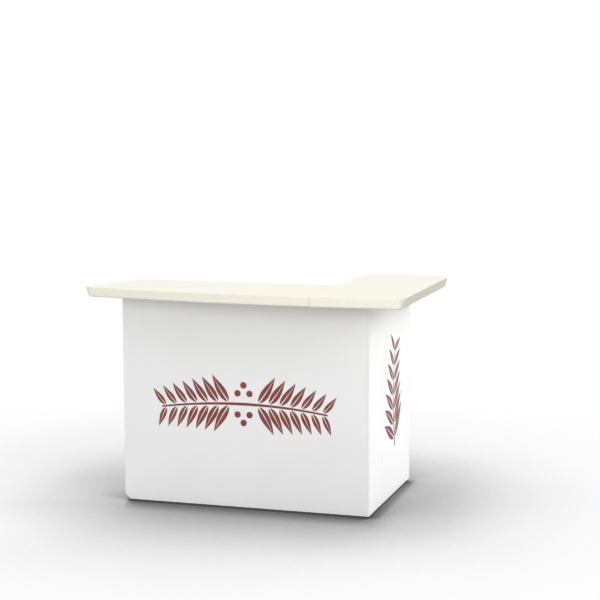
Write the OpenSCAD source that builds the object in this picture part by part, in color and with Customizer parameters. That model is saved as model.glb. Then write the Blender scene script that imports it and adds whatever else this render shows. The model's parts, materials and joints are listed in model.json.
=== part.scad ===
// Mobile bar unit: a shallow shelf cabinet on castors, a return wing that folds
// behind it, and an L-shaped counter in two lift-off plates.
// Millimetres, +Z up, origin on the floor under the middle of the counter,
// customers stand at -Y and staff at +Y.

/* [Cabinet] */
// Width of the front panel
cabinet_w = 1155; // [1000:5:1250]
// Depth of the cabinet from the front face to its open back
cabinet_d = 225; // [215:1:260]
// Thickness of every board
board_t = 18; // [15:0.5:20]
// Gap between the panels and the floor
floor_gap = 12; // [8:1:20]
// Width of the clipped lower left corner of the front panel
clip_w = 27; // [20:1:40]
// Height of the clipped lower left corner of the front panel
clip_h = 22; // [15:1:40]
// Height of the underside of the base deck
deck_z = 100; // [96:1:120]
// Height of the underside of the lower shelf
lower_shelf_z = 395; // [330:5:450]
// Height of the underside of the upper shelf
upper_shelf_z = 665; // [600:5:720]
// Set-back of the shelves from the open back
shelf_setback = 14; // [12:1:30]
// Height of the rail at the top of the open back
top_rail_h = 60; // [40:1:80]
// Distance from the front face to the top rail
top_rail_setback = 150; // [130:1:165]

/* [Counter] */
// Height of the counter's top face
counter_h = 1000; // [900:1:1100]
// Thickness of the counter plates
counter_t = 45; // [38:1:60]
// Overhang of the left tip over the left side
left_overhang = 133; // [100:1:160]
// Overhang of the front edge at the crest of its bow
front_overhang = 213; // [160:1:240]
// Overhang of the right edge over the right side
right_overhang = 195; // [150:1:230]
// Overhang of the return plate behind the wing
back_overhang = 5; // [2:1:40]
// Overhang of the long plate behind the cabinet
long_back_overhang = 8; // [2:1:40]
// Width of the return plate
return_w = 406; // [380:1:430]
// Radius of the bowed front edge
bow_r = 5163; // [4000:1:8000]
// Distance of the bow's crest from the left side of the front panel
bow_crest = 833; // [700:1:900]
// Angle of the left end, from the depth axis
left_cut = 24.5; // [15:0.5:30]
// Radius of the counter's two front corners in plan
front_corner_r = 40; // [34:1:70]
// Radius of the counter's left back corner in plan
left_corner_r = 55; // [40:1:70]
// Radius of the counter's right back corner in plan
right_corner_r = 90; // [40:1:110]
// Lean of the counter's edge from the vertical
edge_lean = 14; // [6:1:18]
// Radius of the edge's lower corner
edge_round = 12; // [6:1:14]
// Radius of the top arris
arris_r = 2; // [1:0.5:3]
// Thickness of the plates' top skin
skin_t = 5; // [3:0.5:8]
// Thickness of the ribs under the plates
rib_t = 6; // [4:0.5:10]
// Gap between the two plates
seam_gap = 1; // [0.6:0.1:2]

/* [Saddles] */
// Length of a saddle along its board
saddle_l = 60; // [40:1:80]
// Thickness of a saddle's cheeks
cheek_t = 8; // [5:0.5:10]
// How far the cheeks reach down over a board
cheek_drop = 20; // [12:1:22]
// Thickness of a saddle's base, let into the plate
saddle_base_t = 8; // [5:0.5:10]
// Clearance between a cheek and the board
saddle_clear = 0.6; // [0.4:0.1:1]
// Distance of the long plate's left saddles from the left side
saddle_left = 160; // [120:1:300]
// Distance of the long plate's right saddles from the seam
saddle_right = 190; // [120:1:300]
// Distance of the return plate's front saddles from the seam
saddle_return = 75; // [60:1:110]

/* [Return wing] */
// Length of the wing along the right side
wing_l = 534; // [450:1:560]
// Gap between the wing and the cabinet
wing_gap = 1; // [0.6:0.1:4]
// Gap between the wing's top edge and the counter
wing_top_gap = 0.4; // [0.3:0.1:0.8]

/* [Hinges] */
// Height of the middle of the lower hinge
lower_hinge_z = 230; // [220:1:320]
// Height of the middle of the middle hinge
middle_hinge_z = 525; // [515:1:590]
// Height of the middle of the upper hinge
upper_hinge_z = 810; // [785:1:860]
// Height of a hinge leaf
leaf_h = 80; // [60:1:100]
// Width of a hinge leaf
leaf_w = 27; // [22:1:32]
// Thickness of a hinge leaf
leaf_t = 2.5; // [2:0.1:3]
// Radius of the knuckles
knuckle_r = 5.5; // [5:0.1:5.6]
// Radius of the hinge pins
hinge_pin_r = 3; // [2.5:0.1:3.5]
// Distance of the pin's axis from the boards' inner faces
pin_stand = 6; // [6:0.1:7]

/* [Castors] */
// Diameter of a castor wheel
wheel_d = 50; // [44:1:52]
// Width of a tyre
tyre_w = 20; // [16:1:22]
// Thickness of a tyre
tyre_t = 6; // [4:0.5:8]
// Distance of the axle behind the swivel axis
trail = 16; // [14:0.5:18]
// Height of a castor to the top of its plate
castor_h = 70; // [68:0.5:76]
// Side of a castor's square plate
castor_plate = 56; // [50:1:60]
// Radius of an axle
axle_r = 4; // [3:0.5:5]
// Radius of a kingpin
kingpin_r = 5; // [4:0.5:6]
// Distance of the castors from the end panels
castor_inset = 72; // [66:1:100]
// Distance of the front castors from the front panel
castor_front = 46; // [45:1:50]
// Distance of the rear castors from the open back
castor_rear = 55; // [52:1:58]
// Distance of the wing's castor from the wing's inner face
wing_castor_stand = 48; // [46:1:55]
// Distance of the wing's castor from the wing's free end
wing_castor_end = 60; // [50:1:100]

/* [Rails] */
// Radius of the guard rails
rail_r = 4; // [3:0.5:5]
// Height of a guard rail above its shelf
rail_rise = 48; // [35:1:70]
// Distance of the guard rails from the open back
rail_back = 20; // [16:1:30]

/* [Hidden] */
$fn = 48;
running = 0.05; // radial clearance of pins and axles in their bores
slack = 0.5; // end float beside a turning piece

overall_l = left_overhang + cabinet_w + right_overhang;
overall_d = front_overhang + cabinet_d + wing_gap + wing_l + back_overhang;
panel_right = overall_l / 2 - right_overhang;
panel_left = panel_right - cabinet_w;
inner_left = panel_left + board_t;
inner_right = panel_right - board_t;
front_y = -overall_d / 2 + front_overhang;
inner_front = front_y + board_t;
back_y = front_y + cabinet_d;
wing_front = back_y + wing_gap;
wing_back = wing_front + wing_l;
seat_z = counter_h - counter_t;
shelf_back = back_y - shelf_setback;
top_rail_y = front_y + top_rail_setback;

bow_x = panel_left + bow_crest;
bow_y = front_y - front_overhang + bow_r;
seam_x = overall_l / 2 - return_w;
long_back = back_y + long_back_overhang;
return_back = overall_d / 2;
edge_draw = (counter_t - arris_r) * tan(edge_lean);
edge_inset = edge_draw + edge_round * tan((90 - edge_lean) / 2); // draw-in of the whole edge
butt_wall = 10; // solid band of the long plate beside the seam
edge_wall = edge_inset + butt_wall; // solid band behind a plate's edge
corner_wall = right_corner_r - (right_corner_r - edge_wall) / sqrt(2); // same, at the right back corner
bearing_margin = 8;
bearing = cheek_t + saddle_clear + bearing_margin; // solid band each side of a board under a plate

hinge_heights = [lower_hinge_z, middle_hinge_z, upper_hinge_z];
hinge_x = inner_right - pin_stand;
hinge_y = back_y + wing_gap / 2;
knuckle_h = leaf_h / 3;
knuckle_gap = 0.4;
leaf_start = knuckle_r + 1;
leaf_screw_near = 0.4; // places of a leaf's screws, as shares of its width and height
leaf_screw_far = 0.72;
leaf_screw_rise = 0.36;
pin_head_t = 2;
pin_head_r = hinge_pin_r + 1.5;
screw_head_r = 3.6;
screw_head_h = 1.6;
screw_r = 1.75;
screw_l = 13;

wheel_r = wheel_d / 2;
hub_r = wheel_r - tyre_t;
hub_boss_r = axle_r + 4;
hub_web = 3; // half thickness of a hub's web
hub_rim = 4; // thickness of a hub's rim
hub_side = 1; // set-back of a hub's rim from the tyre's sides
fork_in = tyre_w / 2 + 2;
fork_t = 3;
fork_out = fork_in + fork_t;
castor_plate_t = 3;
crown_t = 5;
crown_z = wheel_d + 3;
crown_r = 18;
crown_half = 0.8 * crown_r; // half length of the crown's straight sides
leg_flare = 6; // how far a fork's legs stay wide below the crown
leg_r = 8; // radius of a leg's foot
ear_r = 5; // radius of the ears that hold a pedal
race_r = 15;
kingpin_head = 3;
kingpin_head_r = kingpin_r + 3;
tyre_round = 0.45; // radius of a tyre's shoulders, as a share of its thickness
axle_head_r = axle_r + 3;
axle_head_t = 3;
castor_screw = castor_plate / 2 - 8;
batten_w = castor_plate + 8;
pedal_y = trail + 18;
pedal_z = wheel_d;
pedal_r = 4.5;
pedal_pin_r = 2.5;
pedal_l = 21;
pedal_t = 4;
cam_r = 1.2;
cam_reach = 4.1;
cam_angle = -106;

castor_at = [
    [inner_left + castor_inset, inner_front + castor_front],
    [inner_right - castor_inset, inner_front + castor_front],
    [inner_left + castor_inset, back_y - castor_rear],
    [inner_right - castor_inset, back_y - castor_rear],
    [inner_right - wing_castor_stand, wing_back - wing_castor_end]
];
cabinet_castors = [0, 1, 2, 3];
wing_castor = 4;
braked = [2, 3];

bracket_t = 4;
bracket_w = 64;
bracket_rise = 46;
bracket_margin = 4;
bracket_reach = wing_castor_stand + castor_plate / 2 + bracket_margin;
bracket_screw_side = 0.3 * bracket_w;
bracket_screw_z = castor_h + 0.65 * bracket_rise;

shelf_pin_r = 3;
shelf_pin_in = 10;
shelf_pin_out = 9;
shelf_pin_end = 30; // distance of the shelf pins from a shelf's front and back edges
cleat = 20;
cleat_end = 60; // distance of the cleats from the end panels
block = 24;
block_l = 70;
block_shares = [0.25, 0.5, 0.75]; // places of the deck's blocks along the cabinet
block_clear = 5; // between the top blocks and the saddles
socket_r = 9;
socket_l = 9;
socket_floor = 2;
magnet_share = 0.7; // place of the catch along the cabinet
magnet_x = inner_left + cabinet_w * magnet_share;
magnet_w = 46;
magnet_h = 16;
magnet_d = 34;
strike_t = 2;
catch_gap = 0.5;

shelf_levels = [deck_z, lower_shelf_z, upper_shelf_z];
rail_y = back_y - rail_back;
saddle_w = board_t + 2 * (saddle_clear + cheek_t);
saddle_front_gap = 5; // between a side saddle and the front panel
saddle_rail_gap = 2; // between a side saddle and the top rail
long_saddles = [
    for (x = [panel_left + saddle_left, seam_x - saddle_right], y = [front_y, top_rail_y]) [x, y]
];
return_front_saddles = [for (y = [front_y, top_rail_y]) [seam_x + saddle_return, y]];
return_side_saddles = [
    [inner_right, inner_front + saddle_l / 2 + saddle_front_gap],
    [inner_right, top_rail_y - saddle_l / 2 - saddle_rail_gap]
];

// Box between two corners
module span(low, high) {
    translate(low) cube(high - low);
}

// Outline in X and Z, extruded towards +Y
module face_xz(y, depth) {
    translate([0, y + depth, 0]) rotate([90, 0, 0]) linear_extrude(depth) children();
}

// Outline in Y and Z, extruded towards +X
module face_yz(x, depth) {
    translate([x, 0, 0]) rotate([90, 0, 90]) linear_extrude(depth) children();
}

// Rod along X
module rod_x(x0, x1, y, z, r) {
    translate([x0, y, z]) rotate([0, 90, 0]) cylinder(h = x1 - x0, r = r);
}

// Points of the screws of one hinge leaf, as distance from the hinge axis and height
function leaf_screws() = [
    for (z = hinge_heights, k = [-1, 0, 1])
        [leaf_start + leaf_w * (k == 0 ? leaf_screw_far : leaf_screw_near), z + k * leaf_h * leaf_screw_rise]
];

// Points of the screws that hold the wing's castor bracket
function bracket_screws() = [
    for (k = [-1, 1]) [castor_at[wing_castor][1] + k * bracket_screw_side, bracket_screw_z]
];

// Wood screw along X with its head towards -X, its shoulder at the origin
module screw_x() {
    rod_x(-screw_head_h, 0, 0, 0, screw_head_r);
    rod_x(-0.1, screw_l, 0, 0, screw_r);
}

// Clearance hole for a wood screw along X, from the face inwards
module screw_hole_x() {
    rod_x(-1, screw_l + 0.5, 0, 0, screw_r + running);
}

// Places of the shelf pins along both end panels
module shelf_pin_points() {
    for (z = [lower_shelf_z, upper_shelf_z], y = [inner_front + shelf_pin_end, shelf_back - shelf_pin_end])
        translate([0, y, z - shelf_pin_r]) children();
}

module front_panel() {
    color("white") face_xz(front_y, board_t) polygon([
        [panel_left, floor_gap + clip_h], [panel_left + clip_w, floor_gap],
        [panel_right, floor_gap], [panel_right, seat_z], [panel_left, seat_z]
    ]);
}

module left_end_panel() {
    color("white") difference() {
        face_yz(panel_left, board_t) polygon([
            [inner_front, floor_gap + clip_h], [inner_front + clip_w, floor_gap],
            [back_y, floor_gap], [back_y, seat_z], [inner_front, seat_z]
        ]);
        shelf_pin_points() rod_x(inner_left - shelf_pin_in, inner_left + 1, 0, 0, shelf_pin_r + running);
    }
}

module right_end_panel() {
    color("white") difference() {
        span([inner_right, inner_front, floor_gap], [panel_right, back_y, seat_z]);
        shelf_pin_points() rod_x(inner_right - 1, inner_right + shelf_pin_in, 0, 0, shelf_pin_r + running);
        for (p = leaf_screws()) translate([inner_right, hinge_y - p[0], p[1]]) screw_hole_x();
    }
}

// Shelf board between the end panels
module shelf_board(z) {
    span([inner_left, inner_front, z], [inner_right, shelf_back, z + board_t]);
}

module base_deck() {
    color("ivory") shelf_board(deck_z);
}

module lower_shelf() {
    color("ivory") shelf_board(lower_shelf_z);
}

module upper_shelf() {
    color("ivory") shelf_board(upper_shelf_z);
}

module rear_top_rail() {
    color("ivory") span(
        [inner_left, top_rail_y, seat_z - top_rail_h],
        [inner_right, top_rail_y + board_t, seat_z]
    );
}

// Batten on the front panel under a shelf, clear of the end panels' pins
module shelf_cleat(z) {
    span(
        [inner_left + cleat_end, inner_front, z - cleat],
        [inner_right - cleat_end, inner_front + cleat, z]
    );
}

module lower_shelf_cleat() {
    color("burlywood") shelf_cleat(lower_shelf_z);
}

module upper_shelf_cleat() {
    color("burlywood") shelf_cleat(upper_shelf_z);
}

module shelf_pins() {
    color("silver") {
        shelf_pin_points() rod_x(inner_left - shelf_pin_in, inner_left + shelf_pin_out, 0, 0, shelf_pin_r);
        shelf_pin_points() rod_x(inner_right - shelf_pin_out, inner_right + shelf_pin_in, 0, 0, shelf_pin_r);
    }
}

// Glued blocks that tie the deck and the top rail to the panels
module corner_blocks() {
    color("burlywood") {
        for (k = block_shares) {
            middle = inner_left + (inner_right - inner_left) * k;
            translate([middle - block_l / 2, inner_front, deck_z - block]) cube([block_l, block, block]);
        }
        for (x = [inner_left, inner_right - block])
            translate([x, top_rail_y - block, seat_z - block_l])
                cube([block, block, block_l - cheek_drop - block_clear]);
    }
}

module guard_rail(z) {
    rod_x(inner_left + socket_floor, inner_right - socket_floor, rail_y, z + board_t + rail_rise, rail_r);
}

module deck_guard_rail() {
    color("silver") guard_rail(deck_z);
}

module lower_guard_rail() {
    color("silver") guard_rail(lower_shelf_z);
}

module upper_guard_rail() {
    color("silver") guard_rail(upper_shelf_z);
}

// Cups on the end panels that hold the guard rails' ends
module guard_rail_sockets() {
    color("dimgray") difference() {
        for (z = shelf_levels, x = [inner_left, inner_right - socket_l])
            rod_x(x, x + socket_l, rail_y, z + board_t + rail_rise, socket_r);
        for (z = shelf_levels) rod_x(
            inner_left + socket_floor, inner_right - socket_floor,
            rail_y, z + board_t + rail_rise, rail_r + running
        );
    }
}

// Places of a castor's four screws, around its swivel axis
module castor_screw_points() {
    for (x = [-castor_screw, castor_screw], y = [-castor_screw, castor_screw])
        translate([x, y, 0]) children();
}

// Batten across the cabinet's depth that carries two castors
module castor_batten(front, rear) {
    x = castor_at[front][0];
    difference() {
        span([x - batten_w / 2, inner_front, castor_h], [x + batten_w / 2, shelf_back, deck_z]);
        for (i = [front, rear])
            translate([castor_at[i][0], castor_at[i][1], castor_h - 1])
                castor_screw_points() cylinder(h = screw_l + 1.5, r = screw_r + running);
    }
}

module left_castor_batten() {
    color("burlywood") castor_batten(0, 2);
}

module right_castor_batten() {
    color("burlywood") castor_batten(1, 3);
}

// Hinge leaf along +Y with knuckles at the given thirds, drawn about the hinge axis
module hinge_leaf(thirds) {
    difference() {
        union() {
            span(
                [pin_stand - leaf_t, leaf_start, -leaf_h / 2],
                [pin_stand, leaf_start + leaf_w, leaf_h / 2]
            );
            for (k = thirds) translate([0, 0, k * knuckle_h - knuckle_h / 2]) {
                translate([0, 0, knuckle_gap / 2]) cylinder(h = knuckle_h - knuckle_gap, r = knuckle_r);
                span(
                    [pin_stand - leaf_t, 0, knuckle_gap / 2],
                    [pin_stand, leaf_start, knuckle_h - knuckle_gap / 2]
                );
            }
        }
        cylinder(h = leaf_h + 2, r = hinge_pin_r + running, center = true);
    }
}

// All leaves of one side of the wing's hinges, with their screw holes
module hinge_leaves(side, thirds) {
    difference() {
        for (z = hinge_heights)
            translate([hinge_x, hinge_y, z]) mirror([0, side < 0 ? 1 : 0, 0]) hinge_leaf(thirds);
        for (p = leaf_screws()) translate([inner_right, hinge_y + side * p[0], p[1]])
            rod_x(-leaf_t - 1, 1, 0, 0, screw_r + running);
    }
}

module cabinet_hinge_leaves() {
    color("silver") hinge_leaves(-1, [-1, 1]);
}

module wing_hinge_leaves() {
    color("silver") hinge_leaves(1, [0]);
}

module hinge_pins() {
    color("gray") for (z = hinge_heights) translate([hinge_x, hinge_y, z]) {
        cylinder(h = leaf_h, r = hinge_pin_r, center = true);
        for (s = [-1, 1]) translate([0, 0, s * (leaf_h + pin_head_t) / 2])
            cylinder(h = pin_head_t, r = pin_head_r, center = true);
    }
}

module cabinet_hinge_screws() {
    color("silver") for (p = leaf_screws())
        translate([inner_right - leaf_t, hinge_y - p[0], p[1]]) screw_x();
}

// Magnetic catch under the deck, which holds the folded wing
module catch_magnet() {
    reach = hinge_y + pin_stand - strike_t - catch_gap;
    color("dimgray") span(
        [magnet_x - magnet_w / 2, reach - magnet_d, deck_z - magnet_h],
        [magnet_x + magnet_w / 2, reach, deck_z]
    );
}

// Castor's fixed plate with its race, drawn about the swivel axis
module castor_top() {
    difference() {
        union() {
            translate([-castor_plate / 2, -castor_plate / 2, castor_h - castor_plate_t])
                cube([castor_plate, castor_plate, castor_plate_t]);
            translate([0, 0, crown_z + crown_t + slack])
                cylinder(h = castor_h - castor_plate_t / 2 - crown_z - crown_t - slack, r = race_r);
        }
        cylinder(h = castor_h + 1, r = kingpin_r + running);
        castor_screw_points() cylinder(h = castor_h + 1, r = screw_r + running);
    }
}

module castor_kingpin() {
    translate([0, 0, crown_z]) cylinder(h = castor_h - crown_z, r = kingpin_r);
    translate([0, 0, crown_z - slack - kingpin_head]) cylinder(h = kingpin_head, r = kingpin_head_r);
    translate([0, 0, crown_z - slack]) cylinder(h = slack, r = kingpin_r);
}

// Puts a piece at one castor's swivel axis
module at_castor(i) {
    translate([castor_at[i][0], castor_at[i][1], 0]) children();
}

module castor_plates() {
    color("silver") for (i = cabinet_castors) at_castor(i) castor_top();
}

module castor_kingpins() {
    color("gray") for (i = cabinet_castors) at_castor(i) castor_kingpin();
}

module castor_screws() {
    color("silver") for (i = cabinet_castors) at_castor(i) castor_screw_points()
        translate([0, 0, castor_h - castor_plate_t]) {
            translate([0, 0, -screw_head_h]) cylinder(h = screw_head_h, r = screw_head_r);
            cylinder(h = screw_l, r = screw_r);
        }
}

// Fork with a crown and two legs, and ears for a pedal where it has a brake
module fork(i) {
    has_brake = len(search(i, braked)) > 0;
    color("silver") at_castor(i) difference() {
        union() {
            translate([0, 0, crown_z]) cylinder(h = crown_t, r = crown_r);
            span([-fork_out, -crown_half, crown_z], [fork_out, crown_half, crown_z + crown_t]);
            for (x = [-fork_out, fork_in]) face_yz(x, fork_t) {
                polygon([
                    [-crown_half, crown_z + crown_t], [-crown_half, crown_z - leg_flare],
                    [trail - leg_r, wheel_r], [trail + leg_r, wheel_r],
                    [crown_half + leg_flare, crown_z - leg_flare], [crown_half, crown_z + crown_t]
                ]);
                translate([trail, wheel_r]) circle(r = leg_r);
                if (has_brake) {
                    translate([pedal_y, pedal_z]) circle(r = ear_r);
                    polygon([
                        [0, crown_z + crown_t], [0, crown_z - leg_r],
                        [pedal_y, pedal_z - ear_r], [pedal_y, pedal_z + ear_r]
                    ]);
                }
            }
        }
        cylinder(h = castor_h, r = kingpin_r + running);
        rod_x(-fork_out - 1, fork_out + 1, trail, wheel_r, axle_r + running);
        if (has_brake) rod_x(-fork_out - 1, fork_out + 1, pedal_y, pedal_z, pedal_pin_r + running);
    }
}

module axle(i) {
    color("gray") at_castor(i) {
        rod_x(-fork_out, fork_out, trail, wheel_r, axle_r);
        rod_x(-fork_out - axle_head_t, -fork_out, trail, wheel_r, axle_head_r);
        rod_x(fork_out, fork_out + axle_head_t, trail, wheel_r, axle_head_r);
    }
}

module hub(i) {
    boss = fork_in - slack;
    color("lightgray") at_castor(i) difference() {
        union() {
            rod_x(-boss, boss, trail, wheel_r, hub_boss_r);
            rod_x(-hub_web, hub_web, trail, wheel_r, hub_r - hub_rim / 2);
            difference() {
                rod_x(-tyre_w / 2 + hub_side, tyre_w / 2 - hub_side, trail, wheel_r, hub_r);
                rod_x(-tyre_w / 2, tyre_w / 2, trail, wheel_r, hub_r - hub_rim);
            }
        }
        rod_x(-boss - 1, boss + 1, trail, wheel_r, axle_r + running);
    }
}

module tyre(i) {
    round_r = tyre_t * tyre_round;
    inner = hub_r + running;
    color("dimgray") at_castor(i) translate([0, trail, wheel_r]) rotate([0, 90, 0]) rotate_extrude() {
        translate([inner, -tyre_w / 2]) square([wheel_r - round_r - inner, tyre_w]);
        translate([inner, -tyre_w / 2 + round_r]) square([wheel_r - inner, tyre_w - 2 * round_r]);
        for (s = [-1, 1]) translate([wheel_r - round_r, s * (tyre_w / 2 - round_r)]) circle(r = round_r);
    }
}

// Brake pedal with its trunnions in the fork's ears and a cam above the tyre
module brake_pedal(i) {
    body = fork_in - slack;
    cam_y = pedal_y + cam_reach * cos(cam_angle);
    cam_z = pedal_z + cam_reach * sin(cam_angle);
    color("tomato") at_castor(i) {
        rod_x(-body, body, pedal_y, pedal_z, pedal_r);
        rod_x(-fork_out, fork_out, pedal_y, pedal_z, pedal_pin_r);
        rod_x(-tyre_w / 3, tyre_w / 3, cam_y, cam_z, cam_r);
        span([-body, pedal_y, pedal_z], [body, pedal_y + pedal_l, pedal_z + pedal_t]);
        rod_x(-body, body, pedal_y + pedal_l, pedal_z + pedal_t / 2, pedal_t / 2);
    }
}

module wing_panel() {
    color("white") difference() {
        span([inner_right, wing_front, floor_gap], [panel_right, wing_back, seat_z - wing_top_gap]);
        for (p = leaf_screws()) translate([inner_right, hinge_y + p[0], p[1]]) screw_hole_x();
        for (p = bracket_screws()) translate([inner_right, p[0], p[1]]) screw_hole_x();
    }
}

module wing_screws() {
    color("silver") {
        for (p = leaf_screws()) translate([inner_right - leaf_t, hinge_y + p[0], p[1]]) screw_x();
        for (p = bracket_screws()) translate([inner_right - bracket_t, p[0], p[1]]) screw_x();
    }
}

// Angle bracket on the wing's inner face that carries its castor
module wing_castor_bracket() {
    y = castor_at[wing_castor][1];
    color("silver") difference() {
        union() {
            span(
                [inner_right - bracket_reach, y - bracket_w / 2, castor_h],
                [inner_right, y + bracket_w / 2, castor_h + bracket_t]
            );
            span(
                [inner_right - bracket_t, y - bracket_w / 2, castor_h],
                [inner_right, y + bracket_w / 2, castor_h + bracket_rise]
            );
        }
        for (p = bracket_screws()) translate([inner_right, p[0], p[1]])
            rod_x(-bracket_t - 1, 1, 0, 0, screw_r + running);
        at_castor(wing_castor) castor_screw_points()
            cylinder(h = castor_h + bracket_t + 1, r = screw_r + running);
    }
}

module wing_castor_plate() {
    color("silver") at_castor(wing_castor) castor_top();
}

module wing_castor_kingpin() {
    color("gray") at_castor(wing_castor) castor_kingpin();
}

module wing_castor_bolts() {
    low = castor_h - castor_plate_t;
    high = castor_h + bracket_t;
    color("silver") at_castor(wing_castor) castor_screw_points() {
        translate([0, 0, low - screw_head_h]) cylinder(h = screw_head_h, r = screw_head_r);
        translate([0, 0, low]) cylinder(h = high - low, r = screw_r);
        translate([0, 0, high]) cylinder(h = screw_head_h, r = screw_head_r);
    }
}

// Steel plate on the wing that meets the catch when the wing is folded
module catch_strike() {
    y = hinge_y + hinge_x - magnet_x;
    color("silver") span(
        [inner_right - strike_t, y - magnet_w / 2, deck_z - magnet_h],
        [inner_right, y + magnet_w / 2, deck_z]
    );
}

// Front edge of the counter at one place along its length
function front_edge(x) = bow_y - sqrt(pow(bow_r, 2) - pow(x - bow_x, 2));

// Rises and draw-ins of the plates' edge profile, from the underside up
function edge_profile() = concat(
    [for (k = [0:5]) let (a = (90 - edge_lean) * k / 5)
        [edge_round * (1 - cos(a)), edge_inset - edge_round * sin(a)]],
    [for (a = [0:30:90]) [counter_t - arris_r * (1 - sin(a)), arris_r * (1 - cos(a))]]
);

// Points of an arc, without its first point if skip is 1
function arc(centre, r, from, to, steps, skip = 0) = [
    for (k = [skip:steps]) let (a = from + (to - from) * k / steps) centre + r * [cos(a), sin(a)]
];

// Centre of the round corner of radius r that touches the bow at one place along the counter
function bow_corner(x, r) = [x, bow_y - sqrt(pow(bow_r - r, 2) - pow(x - bow_x, 2))];

// Direction from the bow's centre to a point, from 180 to 360 degrees
function bow_angle(point) = 360 + atan2(point[1] - bow_y, point[0] - bow_x);

bow_centre = [bow_x, bow_y];
left_tip = bow_corner(-overall_l / 2 + front_corner_r, front_corner_r);
cut_start = left_tip + (front_corner_r - left_corner_r) * [-cos(left_cut), sin(left_cut)];
cut_l = (long_back - left_corner_r - cut_start[1]) / cos(left_cut);
left_heel = cut_start + cut_l * [sin(left_cut), cos(left_cut)];
right_tip = bow_corner(overall_l / 2 - front_corner_r, front_corner_r);
right_heel = [overall_l / 2 - right_corner_r, return_back - right_corner_r];
long_butt = seam_x - seam_gap / 2;
return_butt = seam_x + seam_gap / 2;

// Angle at which the bow, drawn in by a given amount, crosses a place along the counter
function bow_crossing(x, inset) = 360 - acos((x - bow_x) / (bow_r - inset));

// Outline of the long plate drawn in by a given amount, its butt edge stays
function long_plan(inset) = concat(
    arc(left_heel, left_corner_r - inset, 90, 180 - left_cut, 8),
    arc(left_tip, front_corner_r - inset, 180 - left_cut, bow_angle(left_tip), 10),
    arc(bow_centre, bow_r - inset, bow_angle(left_tip), bow_crossing(long_butt, inset), 20, 1),
    [[long_butt, long_back - inset]]
);

// Outline of the return plate drawn in by a given amount, its butt edge stays
function return_plan(inset) = concat(
    arc(bow_centre, bow_r - inset, bow_crossing(return_butt, inset), bow_angle(right_tip), 8),
    arc(right_tip, front_corner_r - inset, bow_angle(right_tip), 360, 10, 1),
    arc(right_heel, right_corner_r - inset, 0, 90, 10),
    [[return_butt, return_back - inset]]
);

// Solid through a stack of outlines with equal numbers of points, counter-clockwise from above
module loft(rings) {
    n = len(rings[0]);
    top = len(rings) - 1;
    polyhedron(
        points = [for (ring = rings) each ring],
        faces = concat(
            [[for (k = [0:n - 1]) k], [for (k = [n - 1:-1:0]) top * n + k]],
            [
                for (i = [0:top - 1], k = [0:n - 1])
                    [i * n + k, (i + 1) * n + k, (i + 1) * n + (k + 1) % n]
            ],
            [
                for (i = [0:top - 1], k = [0:n - 1])
                    [i * n + k, (i + 1) * n + (k + 1) % n, i * n + (k + 1) % n]
            ]
        )
    );
}

// Outline lifted to its level above the seat
function ring(plan, rise) = [for (p = plan) [p[0], p[1], seat_z + rise]];

// Row of pockets between ribs, the ribs lie across the row's length
module pockets(low, high, count, along_x) {
    step = ((along_x ? high[0] - low[0] : high[1] - low[1]) + rib_t) / count;
    for (k = [0:count - 1]) {
        a = along_x ? [low[0] + k * step, low[1]] : [low[0], low[1] + k * step];
        b = along_x ? [a[0] + step - rib_t, high[1]] : [high[0], a[1] + step - rib_t];
        y0 = max(a[1], front_edge(a[0]) + edge_wall, front_edge(b[0]) + edge_wall);
        span([a[0], y0, seat_z - 1], [b[0], b[1], counter_h - skin_t]);
    }
}

// Saddle astride the top edge of a board that runs along X
module saddle() {
    difference() {
        translate([-saddle_l / 2, board_t / 2 - saddle_w / 2, seat_z - cheek_drop])
            cube([saddle_l, saddle_w, cheek_drop + saddle_base_t]);
        translate([-saddle_l, -saddle_clear, seat_z - cheek_drop - 1])
            cube([2 * saddle_l, board_t + 2 * saddle_clear, cheek_drop + 1]);
    }
}

// Seat for a saddle's base in a plate
module saddle_seat() {
    translate([-saddle_l / 2, board_t / 2 - saddle_w / 2, seat_z - 1])
        cube([saddle_l, saddle_w, saddle_base_t + 1]);
}

// Places of the saddles of each plate
module long_saddle_points() {
    for (p = long_saddles) translate(p) children();
}

module return_saddle_points() {
    for (p = return_front_saddles) translate(p) children();
    for (p = return_side_saddles) translate([p[0] + board_t, p[1], 0]) rotate([0, 0, 90]) children();
}

module long_counter() {
    left = inner_left + bearing;
    right = seam_x - seam_gap / 2 - butt_wall;
    color("oldlace") difference() {
        loft([for (level = edge_profile()) ring(long_plan(level[1]), level[0])]);
        pockets([left, -overall_d], [right, front_y - bearing], 6, true);
        pockets([left, inner_front + bearing], [right, top_rail_y - bearing], 6, true);
        long_saddle_points() saddle_seat();
    }
}

module long_counter_saddles() {
    color("ivory") long_saddle_points() saddle();
}

module return_counter() {
    left = seam_x + seam_gap / 2 + edge_wall;
    right = overall_l / 2 - corner_wall;
    rows = [
        [-overall_d, front_y - bearing, 1], [inner_front + bearing, top_rail_y - bearing, 1],
        [top_rail_y + board_t + bearing, return_back - corner_wall, 4]
    ];
    color("oldlace") difference() {
        loft([for (level = edge_profile()) ring(return_plan(level[1]), level[0])]);
        for (row = rows) {
            y0 = max(row[0], front_edge(seam_x) + edge_wall);
            pockets([left, y0], [inner_right - bearing, row[1]], row[2], false);
            pockets([panel_right + bearing, y0], [right, row[1]], row[2], false);
        }
        return_saddle_points() saddle_seat();
    }
}

module return_counter_saddles() {
    color("ivory") return_saddle_points() saddle();
}

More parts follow.
